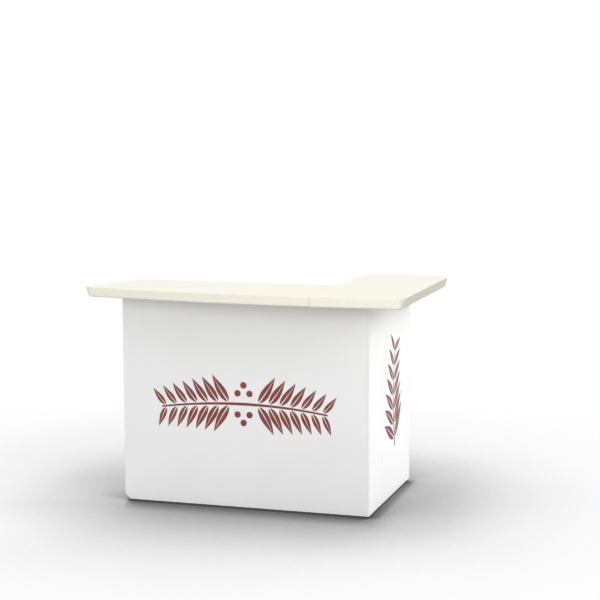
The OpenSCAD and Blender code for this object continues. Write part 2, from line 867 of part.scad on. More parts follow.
front_panel();
left_end_panel();
right_end_panel();
base_deck();
lower_shelf();
upper_shelf();
rear_top_rail();
lower_shelf_cleat();
upper_shelf_cleat();
shelf_pins();
corner_blocks();
deck_guard_rail();
lower_guard_rail();
upper_guard_rail();
guard_rail_sockets();
left_castor_batten();
right_castor_batten();
cabinet_hinge_leaves();
hinge_pins();
cabinet_hinge_screws();
catch_magnet();
castor_plates();
castor_kingpins();
castor_screws();
wing_panel();
wing_hinge_leaves();
wing_screws();
wing_castor_bracket();
wing_castor_plate();
wing_castor_kingpin();
wing_castor_bolts();
catch_strike();
long_counter();
long_counter_saddles();
return_counter();
return_counter_saddles();
fork(0);  // fork_front_left
fork(1);  // fork_front_right
fork(2);  // fork_rear_left
fork(3);  // fork_rear_right
fork(4);  // fork_wing
axle(0);  // axle_front_left
axle(1);  // axle_front_right
axle(2);  // axle_rear_left
axle(3);  // axle_rear_right
axle(4);  // axle_wing
hub(0);  // hub_front_left
hub(1);  // hub_front_right
hub(2);  // hub_rear_left
hub(3);  // hub_rear_right
hub(4);  // hub_wing
tyre(0);  // tyre_front_left
tyre(1);  // tyre_front_right
tyre(2);  // tyre_rear_left
tyre(3);  // tyre_rear_right
tyre(4);  // tyre_wing
brake_pedal(2);  // brake_pedal_left
brake_pedal(3);  // brake_pedal_right
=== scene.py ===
# Mobile bar unit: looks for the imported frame, in metres, customers at -Y
import json
import math

import bmesh
import bpy
from mathutils import Matrix, Vector


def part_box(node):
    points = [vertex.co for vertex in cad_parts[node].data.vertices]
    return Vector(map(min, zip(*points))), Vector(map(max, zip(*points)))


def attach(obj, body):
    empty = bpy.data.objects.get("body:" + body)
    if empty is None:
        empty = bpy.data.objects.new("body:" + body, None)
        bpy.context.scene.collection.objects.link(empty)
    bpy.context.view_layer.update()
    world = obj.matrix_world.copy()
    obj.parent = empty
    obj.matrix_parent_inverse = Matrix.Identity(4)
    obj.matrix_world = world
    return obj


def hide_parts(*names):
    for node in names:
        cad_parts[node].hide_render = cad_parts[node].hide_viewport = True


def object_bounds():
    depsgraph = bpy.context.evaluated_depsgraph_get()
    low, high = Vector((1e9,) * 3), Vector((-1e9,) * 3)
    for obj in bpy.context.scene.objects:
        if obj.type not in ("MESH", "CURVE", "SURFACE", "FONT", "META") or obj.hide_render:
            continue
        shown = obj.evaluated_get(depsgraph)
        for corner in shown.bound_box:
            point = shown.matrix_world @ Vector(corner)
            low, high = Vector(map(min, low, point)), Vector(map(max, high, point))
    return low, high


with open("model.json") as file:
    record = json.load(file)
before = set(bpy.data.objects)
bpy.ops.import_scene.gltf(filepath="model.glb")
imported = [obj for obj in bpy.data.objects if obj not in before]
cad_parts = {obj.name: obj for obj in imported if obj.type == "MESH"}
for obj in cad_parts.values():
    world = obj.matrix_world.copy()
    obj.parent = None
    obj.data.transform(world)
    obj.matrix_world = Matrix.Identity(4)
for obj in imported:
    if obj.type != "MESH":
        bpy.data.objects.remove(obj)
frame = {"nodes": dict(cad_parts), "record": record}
cadLow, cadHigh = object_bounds()
scene = bpy.context.scene
mm = 0.001
print("frame loaded:", len(frame["nodes"]), "nodes")


# Camera, fitted to the photograph's own view

cameraSettings = dict(
    place=(2.3138, -6.9906, 1.8373),
    tilt=82.879,
    turn=17.222,
    roll=-0.121,
    lens=97.26,
    sensor=36.0,
)


def makeCamera(settings):
    lens = bpy.data.cameras.new("camera")
    lens.lens = settings["lens"]
    lens.sensor_width = settings["sensor"]
    lens.clip_end = 100
    camera = bpy.data.objects.new("camera", lens)
    turned = Matrix.Rotation(math.radians(settings["turn"]), 4, "Z")
    tilted = Matrix.Rotation(math.radians(settings["tilt"]), 4, "X")
    rolled = Matrix.Rotation(math.radians(settings["roll"]), 4, "Z")
    camera.matrix_world = Matrix.Translation(settings["place"]) @ turned @ tilted @ rolled
    scene.collection.objects.link(camera)
    scene.camera = camera


makeCamera(cameraSettings)
scene.view_settings.view_transform = "Standard"


# Node helpers, for materials and for Geometry Nodes

def addNode(tree, kind, inputs=None, **settings):
    node = tree.nodes.new(kind)
    for name, value in settings.items():
        setattr(node, name, value)
    for socket, value in (inputs or {}).items():
        if isinstance(value, bpy.types.NodeSocket):
            tree.links.new(value, node.inputs[socket])
        else:
            node.inputs[socket].default_value = value
    return node


def outOf(tree, kind, inputs=None, **settings):
    return addNode(tree, kind, inputs, **settings).outputs[0]


def mathOf(tree, operation, a, b=0.0):
    return outOf(tree, "ShaderNodeMath", {0: a, 1: b}, operation=operation)


def times(tree, a, b):
    return mathOf(tree, "MULTIPLY", a, b)


def plus(tree, a, b):
    return mathOf(tree, "ADD", a, b)


def minus(tree, a, b):
    return mathOf(tree, "SUBTRACT", a, b)


def xyzOf(tree, x=0.0, y=0.0, z=0.0):
    return outOf(tree, "ShaderNodeCombineXYZ", {0: x, 1: y, 2: z})


def vectorOf(tree, operation, *values):
    return outOf(tree, "ShaderNodeVectorMath", dict(enumerate(values)), operation=operation)


def lengthOf(tree, value):
    return addNode(tree, "ShaderNodeVectorMath", {0: value}, operation="LENGTH").outputs["Value"]


def remap(tree, value, fromLow, fromHigh, toLow, toHigh):
    inputs = {0: value, 1: fromLow, 2: fromHigh, 3: toLow, 4: toHigh}
    return outOf(tree, "ShaderNodeMapRange", inputs)


def colour(red, green, blue):  # screen values 0 to 255 as a linear colour
    linear = []
    for level in (red, green, blue):
        share = level / 255
        linear.append(share / 12.92 if share <= 0.04045 else ((share + 0.055) / 1.055) ** 2.4)
    return (*linear, 1.0)


def dimmed(tone, share):
    return tuple(level * share for level in tone[:3]) + (1.0,)


def mixColour(tree, share, first, second):
    node = addNode(tree, "ShaderNodeMix", data_type="RGBA")
    for socket, value in ((node.inputs[0], share), (node.inputs[6], first), (node.inputs[7], second)):
        if isinstance(value, bpy.types.NodeSocket):
            tree.links.new(value, socket)
        else:
            socket.default_value = value
    return node.outputs[2]


def noiseAt(tree, place, scale, detail=3.0, roughness=0.55):
    inputs = {"Vector": place, "Scale": scale, "Detail": detail, "Roughness": roughness}
    return addNode(tree, "ShaderNodeTexNoise", inputs).outputs["Fac"]


def patches(tree, place, scale, detail, spread, result):  # noise within the spread, as the result's range
    return remap(tree, noiseAt(tree, place, scale, detail), *spread, *result)


def stretched(tree, place, scale):
    return outOf(tree, "ShaderNodeMapping", {"Vector": place, "Scale": scale})


def bumpOf(tree, height, depth, strength=1.0, under=None):
    inputs = {"Height": height, "Distance": depth, "Strength": strength}
    if under is not None:
        inputs["Normal"] = under
    return outOf(tree, "ShaderNodeBump", inputs)


def attributeOf(tree, name):
    return addNode(tree, "ShaderNodeAttribute", attribute_name=name).outputs["Fac"]


def startMaterial(name, sockets):
    material = bpy.data.materials.new(name)
    material.use_nodes = True
    tree = material.node_tree
    shader = tree.nodes["Principled BSDF"]
    for socket, value in sockets.items():
        shader.inputs[socket].default_value = value
    place = addNode(tree, "ShaderNodeTexCoord").outputs["Object"]
    return material, tree, shader, place


def feed(tree, shader, **values):
    names = {"base": "Base Color", "roughness": "Roughness", "normal": "Normal"}
    for name, value in values.items():
        tree.links.new(value, shader.inputs[names[name]])


# Materials

laminateLook = dict(
    # front and side are one white laminate in two tones: painted shade makes the front greyer, painted light
    # makes the side whiter
    front=(227, 227, 227),
    side=(251, 251, 251),
    shelf=(238, 236, 230),
    scuff=(186, 183, 178),
    cloudScale=2.4,
    cloudShade=0.965,
    chipScale=60,
    wearShare=0.2,
    streakScale=34,
    scuffFoot=0.012,
    scuffHeight=0.07,
    scuffShare=0.3,
    sheenScale=14,
    peelScale=900,
    peelDepth=0.00003,
)


def makeLaminate(name, tone, roughness):
    look = laminateLook
    material, tree, shader, place = startMaterial(name, {"Specular IOR Level": 0.4})
    base = colour(*tone)
    cloud = patches(tree, place, look["cloudScale"], 4, (0.35, 0.65), (0, 1))
    skin = mixColour(tree, cloud, base, dimmed(base, look["cloudShade"]))
    chips = patches(tree, place, look["chipScale"], 3, (0.52, 0.7), (0, look["wearShare"]))
    wear = times(tree, attributeOf(tree, "wear"), chips)
    height = addNode(tree, "ShaderNodeSeparateXYZ", {0: place}).outputs[2]
    low = remap(tree, height, look["scuffFoot"], look["scuffHeight"], 0.8, 0)
    upright = stretched(tree, place, (1, 1, 6))
    streaks = patches(tree, upright, look["streakScale"], 5, (0.55, 0.72), (0, look["scuffShare"]))
    rubbed = mathOf(tree, "MAXIMUM", wear, times(tree, low, streaks))
    skin = mixColour(tree, rubbed, skin, colour(*look["scuff"]))
    rough = patches(tree, place, look["sheenScale"], 5, (0.3, 0.7), (roughness - 0.05, roughness + 0.08))
    peel = noiseAt(tree, place, look["peelScale"], 2)
    feed(tree, shader, base=skin, roughness=rough, normal=bumpOf(tree, peel, look["peelDepth"], 0.5))
    return material


tapeLook = dict(
    tone=(226, 225, 221),
    line=(150, 146, 138),
    mottleScale=30,
    mottleShade=0.94,
    glueScale=90,
    grainScale=700,
    grainDepth=0.00003,
)


def makeEdgeTape(name):
    look = tapeLook
    material, tree, shader, place = startMaterial(name, {"Specular IOR Level": 0.45})
    mottle = patches(tree, place, look["mottleScale"], 4, (0.35, 0.65), (0, 1))
    tone = colour(*look["tone"])
    skin = mixColour(tree, mottle, tone, dimmed(tone, look["mottleShade"]))
    seep = patches(tree, place, look["glueScale"], 3, (0.45, 0.65), (0.05, 0.35))
    glue = times(tree, attributeOf(tree, "wear"), seep)
    skin = mixColour(tree, glue, skin, colour(*look["line"]))
    rough = remap(tree, mottle, 0, 1, 0.42, 0.55)
    grain = noiseAt(tree, place, look["grainScale"], 2)
    feed(tree, shader, base=skin, roughness=rough, normal=bumpOf(tree, grain, look["grainDepth"], 0.5))
    return material


woodLook = dict(
    early=(214, 180, 132),
    late=(178, 136, 88),
    pore=(132, 96, 60),
    ringScale=46,
    ringWobble=5,
    driftScale=5,
    poreScale=130,
    ringDepth=0.00012,
)


def makeWood(name, alongGrain):  # alongGrain squeezes the pattern along the board's own length
    look = woodLook
    material, tree, shader, place = startMaterial(name, {"Specular IOR Level": 0.3})
    lay = stretched(tree, place, alongGrain)
    inputs = {"Vector": lay, "Scale": look["ringScale"], "Distortion": look["ringWobble"], "Detail": 3}
    rings = addNode(tree, "ShaderNodeTexWave", inputs).outputs["Fac"]
    bands = mixColour(tree, rings, colour(*look["early"]), colour(*look["late"]))
    drift = patches(tree, lay, look["driftScale"], 3, (0.35, 0.7), (0, 0.5))
    skin = mixColour(tree, drift, bands, colour(*look["early"]))
    pores = patches(tree, stretched(tree, lay, (3, 3, 3)), look["poreScale"], 2, (0.6, 0.72), (0, 0.7))
    skin = mixColour(tree, pores, skin, colour(*look["pore"]))
    rough = remap(tree, rings, 0, 1, 0.58, 0.72)
    feed(tree, shader, base=skin, roughness=rough, normal=bumpOf(tree, rings, look["ringDepth"], 0.6))
    return material


counterLook = dict(
    top=(250, 247, 232),
    # edge is the edge band's tone, a shade darker than the top: painted shade on the counter's sides
    edge=(240, 237, 221),
    # darker edge tone for the right side and the left end: painted shade
    paintedShadeEdge=(200, 197, 181),
    # pebble crowns painted lighter than the edge: painted highlight
    crown=(246, 243, 227),
    cloudScale=3,
    cloudShade=0.97,
    grainScale=150,
    grainDepth=0.0008,
    mattScale=2200,
    mattDepth=0.00002,
    sheenScale=16,
)


def makeCounterPlastic(name):
    look = counterLook
    material, tree, shader, place = startMaterial(name, {"Specular IOR Level": 0.35})
    top = colour(*look["top"])
    cloud = patches(tree, place, look["cloudScale"], 4, (0.35, 0.65), (0, 0.6))
    face = mixColour(tree, cloud, top, dimmed(top, look["cloudShade"]))
    cellInputs = {"Vector": place, "Scale": look["grainScale"]}
    cells = addNode(tree, "ShaderNodeTexVoronoi", cellInputs, feature="SMOOTH_F1").outputs["Distance"]
    pebbles = times(tree, attributeOf(tree, "grain"), remap(tree, cells, 0.2, 0.75, 1, 0))
    # the right side and the left end of the edge band are darker still: painted shade
    band = mixColour(tree, attributeOf(tree, "paintedShadeRim"), colour(*look["edge"]), colour(*look["paintedShadeEdge"]))
    # the pebble crowns on the edge band take a lighter tone: painted highlight over the real grain
    band = mixColour(tree, pebbles, band, colour(*look["crown"]))
    # the edge band, the arris included, takes the darker edge tone: painted shade
    skin = mixColour(tree, attributeOf(tree, "rim"), face, band)
    fine = bumpOf(tree, noiseAt(tree, place, look["mattScale"], 2), look["mattDepth"], 0.5)
    rough = patches(tree, place, look["sheenScale"], 5, (0.3, 0.7), (0.38, 0.5))
    bump = bumpOf(tree, pebbles, look["grainDepth"], 0.6, fine)
    feed(tree, shader, base=skin, roughness=rough, normal=bump)
    return material


mouldLook = dict(mottleScale=40, mottleShade=0.88, rubScale=120, sheenScale=70, textureDepth=0.00006)


def makeMoulded(name, tone, worn, roughness, texture):  # moulded plastic with a fine spark-eroded texture
    look = mouldLook
    material, tree, shader, place = startMaterial(name, {"Specular IOR Level": 0.45})
    base = colour(*tone)
    mottle = patches(tree, place, look["mottleScale"], 4, (0.35, 0.65), (0, 1))
    skin = mixColour(tree, mottle, base, dimmed(base, look["mottleShade"]))
    rubbed = patches(tree, place, look["rubScale"], 5, (0.58, 0.75), (0, 0.55))
    skin = mixColour(tree, rubbed, skin, colour(*worn))
    rough = patches(tree, place, look["sheenScale"], 4, (0.3, 0.7), (roughness - 0.07, roughness + 0.09))
    bump = bumpOf(tree, noiseAt(tree, place, texture, 2), look["textureDepth"], 0.6)
    feed(tree, shader, base=skin, roughness=rough, normal=bump)
    return material


zincLook = dict(spangleScale=190, stainScale=55, stainShade=0.55, pitScale=600, pitDepth=0.00004)


def makeZinc(name, bright, dull, roughness):  # plated steel with a crystal spangle
    look = zincLook
    material, tree, shader, place = startMaterial(name, {"Metallic": 1.0})
    spangleInputs = {"Vector": place, "Scale": look["spangleScale"]}
    spangle = addNode(tree, "ShaderNodeTexVoronoi", spangleInputs).outputs["Color"]
    flakes = outOf(tree, "ShaderNodeSeparateColor", {0: spangle})
    skin = mixColour(tree, flakes, colour(*bright), colour(*dull))
    stain = patches(tree, place, look["stainScale"], 5, (0.55, 0.72), (0, 0.45))
    skin = mixColour(tree, stain, skin, dimmed(colour(*dull), look["stainShade"]))
    rough = remap(tree, flakes, 0, 1, roughness - 0.08, roughness + 0.1)
    bump = bumpOf(tree, noiseAt(tree, place, look["pitScale"], 3), look["pitDepth"], 0.5)
    feed(tree, shader, base=skin, roughness=rough, normal=bump)
    return material


railLook = dict(lineStretch=(2, 260, 260), lineScale=9, lineShade=0.8, lineDepth=0.00002)


def makeBrushed(name, tone):  # bright rod with fine lines along X
    look = railLook
    material, tree, shader, place = startMaterial(name, {"Metallic": 1.0})
    lines = noiseAt(tree, stretched(tree, place, look["lineStretch"]), look["lineScale"], 4)
    base = colour(*tone)
    skin = mixColour(tree, remap(tree, lines, 0.35, 0.65, 0, 1), base, dimmed(base, look["lineShade"]))
    rough = remap(tree, lines, 0.3, 0.7, 0.14, 0.3)
    feed(tree, shader, base=skin, roughness=rough, normal=bumpOf(tree, lines, look["lineDepth"], 0.4))
    return material


rubberLook = dict(dustScale=65, gritScale=900, grainScale=700, grainDepth=0.00012)


def makeRubber(name, tone, dust):
    look = rubberLook
    material, tree, shader, place = startMaterial(name, {"Specular IOR Level": 0.3})
    dusty = patches(tree, place, look["dustScale"], 6, (0.5, 0.72), (0, 0.6))
    grit = patches(tree, place, look["gritScale"], 2, (0.5, 0.7), (0, 0.3))
    skin = mixColour(tree, mathOf(tree, "MAXIMUM", dusty, grit), colour(*tone), colour(*dust))
    rough = remap(tree, dusty, 0, 0.6, 0.62, 0.85)
    bump = bumpOf(tree, noiseAt(tree, place, look["grainScale"], 3), look["grainDepth"], 0.7)
    feed(tree, shader, base=skin, roughness=rough, normal=bump)
    return material


inkLook = dict(
    tone=(117, 48, 39),
    thin=(138, 70, 58),
    coverScale=26,
    sheenScale=80,
    screenScale=1500,
    screenDepth=0.00003,
)


def makeInk(name):
    look = inkLook
    material, tree, shader, place = startMaterial(name, {"Specular IOR Level": 0.35})
    cover = patches(tree, place, look["coverScale"], 5, (0.45, 0.75), (0, 0.5))
    skin = mixColour(tree, cover, colour(*look["tone"]), colour(*look["thin"]))
    rough = patches(tree, place, look["sheenScale"], 4, (0.3, 0.7), (0.4, 0.55))
    bump = bumpOf(tree, noiseAt(tree, place, look["screenScale"], 2), look["screenDepth"], 0.5)
    feed(tree, shader, base=skin, roughness=rough, normal=bump)
    return material


finish = dict(
    # the front and side laminates are a shaded and a lit copy of one white laminate: painted shade and
    # painted light
    front=makeLaminate("front_laminate_painted_shade", laminateLook["front"], 0.42),
    side=makeLaminate("side_laminate_painted_light", laminateLook["side"], 0.42),
    shelf=makeLaminate("shelf_laminate", laminateLook["shelf"], 0.5),
    tape=makeEdgeTape("edge_tape"),
    woodX=makeWood("plain_wood_long", (0.06, 1, 1)),
    woodY=makeWood("plain_wood_across", (1, 0.06, 1)),
    counter=makeCounterPlastic("counter_plastic"),
    saddle=makeMoulded("saddle_plastic", (236, 231, 214), (222, 216, 198), 0.45, 800),
    socket=makeMoulded("socket_plastic", (70, 70, 72), (96, 96, 97), 0.5, 900),
    hub=makeMoulded("hub_plastic", (196, 197, 198), (168, 168, 168), 0.42, 900),
    pedal=makeMoulded("pedal_plastic", (178, 38, 32), (146, 60, 54), 0.4, 900),
    magnet=makeMoulded("magnet_plastic", (46, 46, 48), (78, 78, 80), 0.45, 900),
    zinc=makeZinc("zinc_steel", (206, 208, 210), (170, 173, 177), 0.36),
    pin=makeZinc("pin_steel", (186, 187, 189), (150, 152, 156), 0.3),
    rail=makeBrushed("bright_rail", (214, 215, 217)),
    rubber=makeRubber("tyre_rubber", (62, 62, 64), (112, 109, 104)),
    ink=makeInk("print_ink"),
)
print("materials made:", len(finish))


# Mesh helpers

def asObject(name, mesh):
    piece = bpy.data.objects.new(name, mesh)
    scene.collection.objects.link(piece)
    return piece


def shaded(piece, angle):  # smooth, with even faces and crisp folds past the angle
    piece.data.shade_smooth()
    piece.data.set_sharp_from_angle(angle=math.radians(angle))
    modifier = piece.modifiers.new("normals", "WEIGHTED_NORMAL")
    modifier.keep_sharp = True
    modifier.weight = 100
    return settled(piece)


def settled(piece):  # turns what the modifiers make into a plain mesh
    depsgraph = bpy.context.evaluated_depsgraph_get()
    mesh = bpy.data.meshes.new_from_object(piece.evaluated_get(depsgraph), depsgraph=depsgraph)
    piece.modifiers.clear()
    old = piece.data
    piece.data = mesh
    bpy.data.meshes.remove(old)
    return piece


def rideOn(piece, body, nodes=()):
    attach(piece, body)
    if nodes:
        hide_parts(*nodes)
    return piece


bodyOf = {}
for bodyName, members in frame["record"]["behaviour"]["bodies"].items():
    for member in members:
        bodyOf[member] = bodyName


# Boards: softened slabs with taped edges and a rubbed band along every arris

boardLook = dict(
    round=0.5 * mm,
    steps=3,
    rubbedFace=14 * mm,
    rubbedEdge=3 * mm,
    mostOfWidth=0.4,
    mostOfThickness=0.3,
    fold=40,
)


def slabMesh(outline, axis, low, high):
    shape = bmesh.new()
    others = [k for k in range(3) if k != axis]
    rings = []
    for depth in (low, high):
        ring = []
        for u, v in outline:
            point = [0.0, 0.0, 0.0]
            point[axis] = depth
            point[others[0]], point[others[1]] = u, v
            ring.append(shape.verts.new(point))
        rings.append(ring)
    shape.faces.new(rings[0])
    shape.faces.new(list(reversed(rings[1])))
    count = len(outline)
    for k in range(count):
        shape.faces.new((rings[0][k], rings[1][k], rings[1][(k + 1) % count], rings[0][(k + 1) % count]))
    bmesh.ops.recalc_face_normals(shape, faces=shape.faces[:])
    return shape


def makeBoard(node, faceLook, edgeLook, clip=None):
    look = boardLook
    low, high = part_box(node)
    size = high - low
    axis = min(range(3), key=lambda k: size[k])
    u, v = [k for k in range(3) if k != axis]
    outline = [(low[u], low[v]), (high[u], low[v]), (high[u], high[v]), (low[u], high[v])]
    if clip:
        outline[0:1] = [(low[u], low[v] + clip[1]), (low[u] + clip[0], low[v])]
    shape = slabMesh(outline, axis, low[axis], high[axis])
    bmesh.ops.bevel(
        shape, geom=shape.edges[:], offset=look["round"], segments=look["steps"],
        profile=0.5, affect="EDGES",
    )
    wear = shape.verts.layers.float.new("wear")
    for vert in shape.verts:
        vert[wear] = 1.0
    thick = size[axis]
    wide = [f for f in shape.faces if abs(f.normal[axis]) > 0.99]
    narrow = [f for f in shape.faces if abs(f.normal[axis]) < 0.01 and f.calc_area() > thick * thick]
    onFace = min(look["rubbedFace"], look["mostOfWidth"] * sorted(size)[1])
    onEdge = min(look["rubbedEdge"], look["mostOfThickness"] * thick)
    for faces, depth in ((wide, onFace), (narrow, onEdge)):
        for face in faces:
            bmesh.ops.inset_region(shape, faces=[face], thickness=depth, use_even_offset=True)
            for vert in face.verts:
                vert[wear] = 0.0
    for face in shape.faces:
        face.material_index = 0 if abs(face.normal[axis]) > 0.99 else 1
    mesh = bpy.data.meshes.new(node + "_board")
    shape.to_mesh(mesh)
    shape.free()
    mesh.materials.append(faceLook)
    mesh.materials.append(edgeLook)
    piece = shaded(asObject(node + "_board", mesh), look["fold"])
    return rideOn(piece, bodyOf[node], [node])


clipSize = (27 * mm, 22 * mm)
makeBoard("front_panel", finish["front"], finish["side"], clipSize)
makeBoard("left_end_panel", finish["side"], finish["tape"], clipSize)
makeBoard("right_end_panel", finish["side"], finish["tape"])
makeBoard("wing_panel", finish["side"], finish["tape"])
for shelfNode in ("base_deck", "lower_shelf", "upper_shelf", "rear_top_rail"):
    makeBoard(shelfNode, finish["shelf"], finish["tape"])
for cleatNode in ("lower_shelf_cleat", "upper_shelf_cleat"):
    makeBoard(cleatNode, finish["woodX"], finish["woodX"])
print("boards made")


# Counter plates: lofted from the same plan and edge profile as the solids

counterPlan = dict(
    bowRadius=5163 * mm,
    bowCrest=224.5 * mm,
    frontCorner=40 * mm,
    leftCorner=55 * mm,
    rightCorner=90 * mm,
    leftCut=24.5,
    lean=14.0,
    round=12 * mm,
    arris=2 * mm,
    seamBreak=1.5 * mm,
    spacing=4 * mm,
    fold=35,
    leftCornerSteps=18,
    frontCornerSteps=26,
    rightCornerSteps=30,
    buttSteps=12,
    roundSteps=9,
    leanSteps=8,
    arrisSteps=4,
)


def arcPoints(centre, radius, start, stop, count):
    points = []
    for k in range(count + 1):
        angle = math.radians(start + (stop - start) * k / count)
        points.append(Vector((centre[0] + radius * math.cos(angle), centre[1] + radius * math.sin(angle))))
    return points


def linePoints(a, b, count):
    return [a.lerp(b, k / count) for k in range(1, count)]


longLow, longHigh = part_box("long_counter")
returnLow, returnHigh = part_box("return_counter")
bowCentre = Vector((counterPlan["bowCrest"], min(longLow.y, returnLow.y) + counterPlan["bowRadius"]))


def bowTip(x):  # centre of the round corner that touches the bow
    reach = counterPlan["bowRadius"] - counterPlan["frontCorner"]
    return Vector((x, bowCentre.y - math.sqrt(reach ** 2 - (x - bowCentre.x) ** 2)))


def bowAngle(point):
    return 360 + math.degrees(math.atan2(point.y - bowCentre.y, point.x - bowCentre.x))


def bowCrossing(x, inset):
    return 360 - math.degrees(math.acos((x - bowCentre.x) / (counterPlan["bowRadius"] - inset)))


def stepsFor(length):
    return max(2, round(length / counterPlan["spacing"]))


leftTip = bowTip(longLow.x + counterPlan["frontCorner"])
rightTip = bowTip(returnHigh.x - counterPlan["frontCorner"])
rightHeel = Vector((returnHigh.x - counterPlan["rightCorner"], returnHigh.y - counterPlan["rightCorner"]))


def longOutline(inset):
    plan = counterPlan
    cut = math.radians(plan["leftCut"])
    away = plan["frontCorner"] - plan["leftCorner"]
    start = leftTip + away * Vector((-math.cos(cut), math.sin(cut)))
    reach = (longHigh.y - plan["leftCorner"] - start.y) / math.cos(cut)
    heel = start + reach * Vector((math.sin(cut), math.cos(cut)))
    side = 180 - plan["leftCut"]
    heelArc = arcPoints(heel, plan["leftCorner"] - inset, 90, side, plan["leftCornerSteps"])
    tipArc = arcPoints(
        leftTip, plan["frontCorner"] - inset, side, bowAngle(leftTip), plan["frontCornerSteps"],
    )
    bow = arcPoints(
        bowCentre, plan["bowRadius"] - inset, bowAngle(leftTip),
        bowCrossing(longHigh.x - plan["seamBreak"], inset), stepsFor(longHigh.x - leftTip.x),
    )
    front = Vector((longHigh.x, bow[-1].y + plan["seamBreak"]))
    back = Vector((longHigh.x, longHigh.y - inset))
    butt = [front] + linePoints(front, back, plan["buttSteps"]) + [back]
    rear = linePoints(back, heelArc[0], stepsFor(back.x - heel.x))
    return heelArc + linePoints(heelArc[-1], tipArc[0], stepsFor(reach)) + tipArc + bow[1:] + butt + rear


def returnOutline(inset):
    plan = counterPlan
    bow = arcPoints(
        bowCentre, plan["bowRadius"] - inset, bowCrossing(returnLow.x + plan["seamBreak"], inset),
        bowAngle(rightTip), stepsFor(rightTip.x - returnLow.x),
    )
    tipArc = arcPoints(
        rightTip, plan["frontCorner"] - inset, bowAngle(rightTip), 360, plan["frontCornerSteps"],
    )
    heelArc = arcPoints(rightHeel, plan["rightCorner"] - inset, 0, 90, plan["rightCornerSteps"])
    front = Vector((returnLow.x, bow[0].y + plan["seamBreak"]))
    back = Vector((returnLow.x, returnHigh.y - inset))
    side = linePoints(tipArc[-1], heelArc[0], stepsFor(rightHeel.y - rightTip.y))
    rear = linePoints(heelArc[-1], back, stepsFor(rightHeel.x - back.x))
    butt = [back] + linePoints(back, front, plan["buttSteps"]) + [front]
    return bow + tipArc[1:] + side + heelArc + rear + butt


def edgeInset(thickness):  # draw-in of the whole edge: the leaning side, then the round under it
    plan = counterPlan
    leaning = (thickness - plan["arris"]) * math.tan(math.radians(plan["lean"]))
    return leaning + plan["round"] * math.tan(math.radians(45 - plan["lean"] / 2))


def edgeProfile(thickness):
    plan = counterPlan
    levels = []
    for k in range(plan["roundSteps"] + 1):
        angle = math.radians((90 - plan["lean"]) * k / plan["roundSteps"])
        rise = plan["round"] * (1 - math.cos(angle))
        levels.append((rise, edgeInset(thickness) - plan["round"] * math.sin(angle)))
    lower, shoulder = levels[-1], thickness - plan["arris"]
    for k in range(1, plan["leanSteps"]):
        share = k / plan["leanSteps"]
        levels.append((lower[0] + (shoulder - lower[0]) * share, lower[1] * (1 - share)))
    for k in range(plan["arrisSteps"] + 1):
        angle = math.radians(90 * k / plan["arrisSteps"])
        drop = plan["arris"] * (1 - math.sin(angle))
        levels.append((thickness - drop, plan["arris"] * (1 - math.cos(angle))))
    return levels


# The moulded grain starts under the front edge and climbs towards the right end
grainBand = dict(left=-0.60, full=0.42, softness=7 * mm, frontShare=0.985, endGap=20 * mm)


def grainAt(point, rise, thickness):
    behindFront = bowCentre.y - point.y <= counterPlan["bowRadius"] * grainBand["frontShare"]
    if behindFront or point.x >= returnHigh.x - grainBand["endGap"]:
        return 0.0
    share = (point.x - grainBand["left"]) / (grainBand["full"] - grainBand["left"])
    limit = max(0.0, min(1.0, share)) * (thickness - counterPlan["arris"])
    return max(0.0, min(1.0, (limit - rise) / grainBand["softness"]))


# painted shade on the counter's edge band: the full share on the right side, half on the left end
paintedShadeShare = dict(right=1.0, left=0.5, turn=84)


def paintedShadeRimAt(point):  # share of painted shade: full along the right side, less along the left end, fading out round the corners
    if point.x < leftTip.x:
        turn = math.degrees(math.atan2(leftTip.y - point.y, leftTip.x - point.x))
        return paintedShadeShare["left"] * max(0.0, min(1.0, 1 - turn / paintedShadeShare["turn"]))
    centre = rightTip if point.y < rightTip.y else rightHeel
    if point.x <= centre.x:
        return 0.0
    if rightTip.y <= point.y <= rightHeel.y:
        return paintedShadeShare["right"]
    turn = math.degrees(math.atan2(abs(point.y - centre.y), point.x - centre.x))
    return paintedShadeShare["right"] * max(0.0, 1 - turn / paintedShadeShare["turn"])


def cutPockets(piece, pockets):
    shape = bmesh.new()
    for low, high in pockets:
        middle = [(a + b) / 2 for a, b in zip(low, high)]
        size = [b - a for a, b in zip(low, high)]
        fitted = Matrix.Translation(middle) @ Matrix.Diagonal((*size, 1.0))
        bmesh.ops.create_cube(shape, size=1.0, matrix=fitted)
    mesh = bpy.data.meshes.new("pocket_cutter")
    shape.to_mesh(mesh)
    shape.free()
    cutter = asObject("pocket_cutter", mesh)
    modifier = piece.modifiers.new("pockets", "BOOLEAN")
    modifier.object = cutter
    modifier.solver = "EXACT"
    settled(piece)
    bpy.data.objects.remove(cutter)
    bpy.data.meshes.remove(mesh)


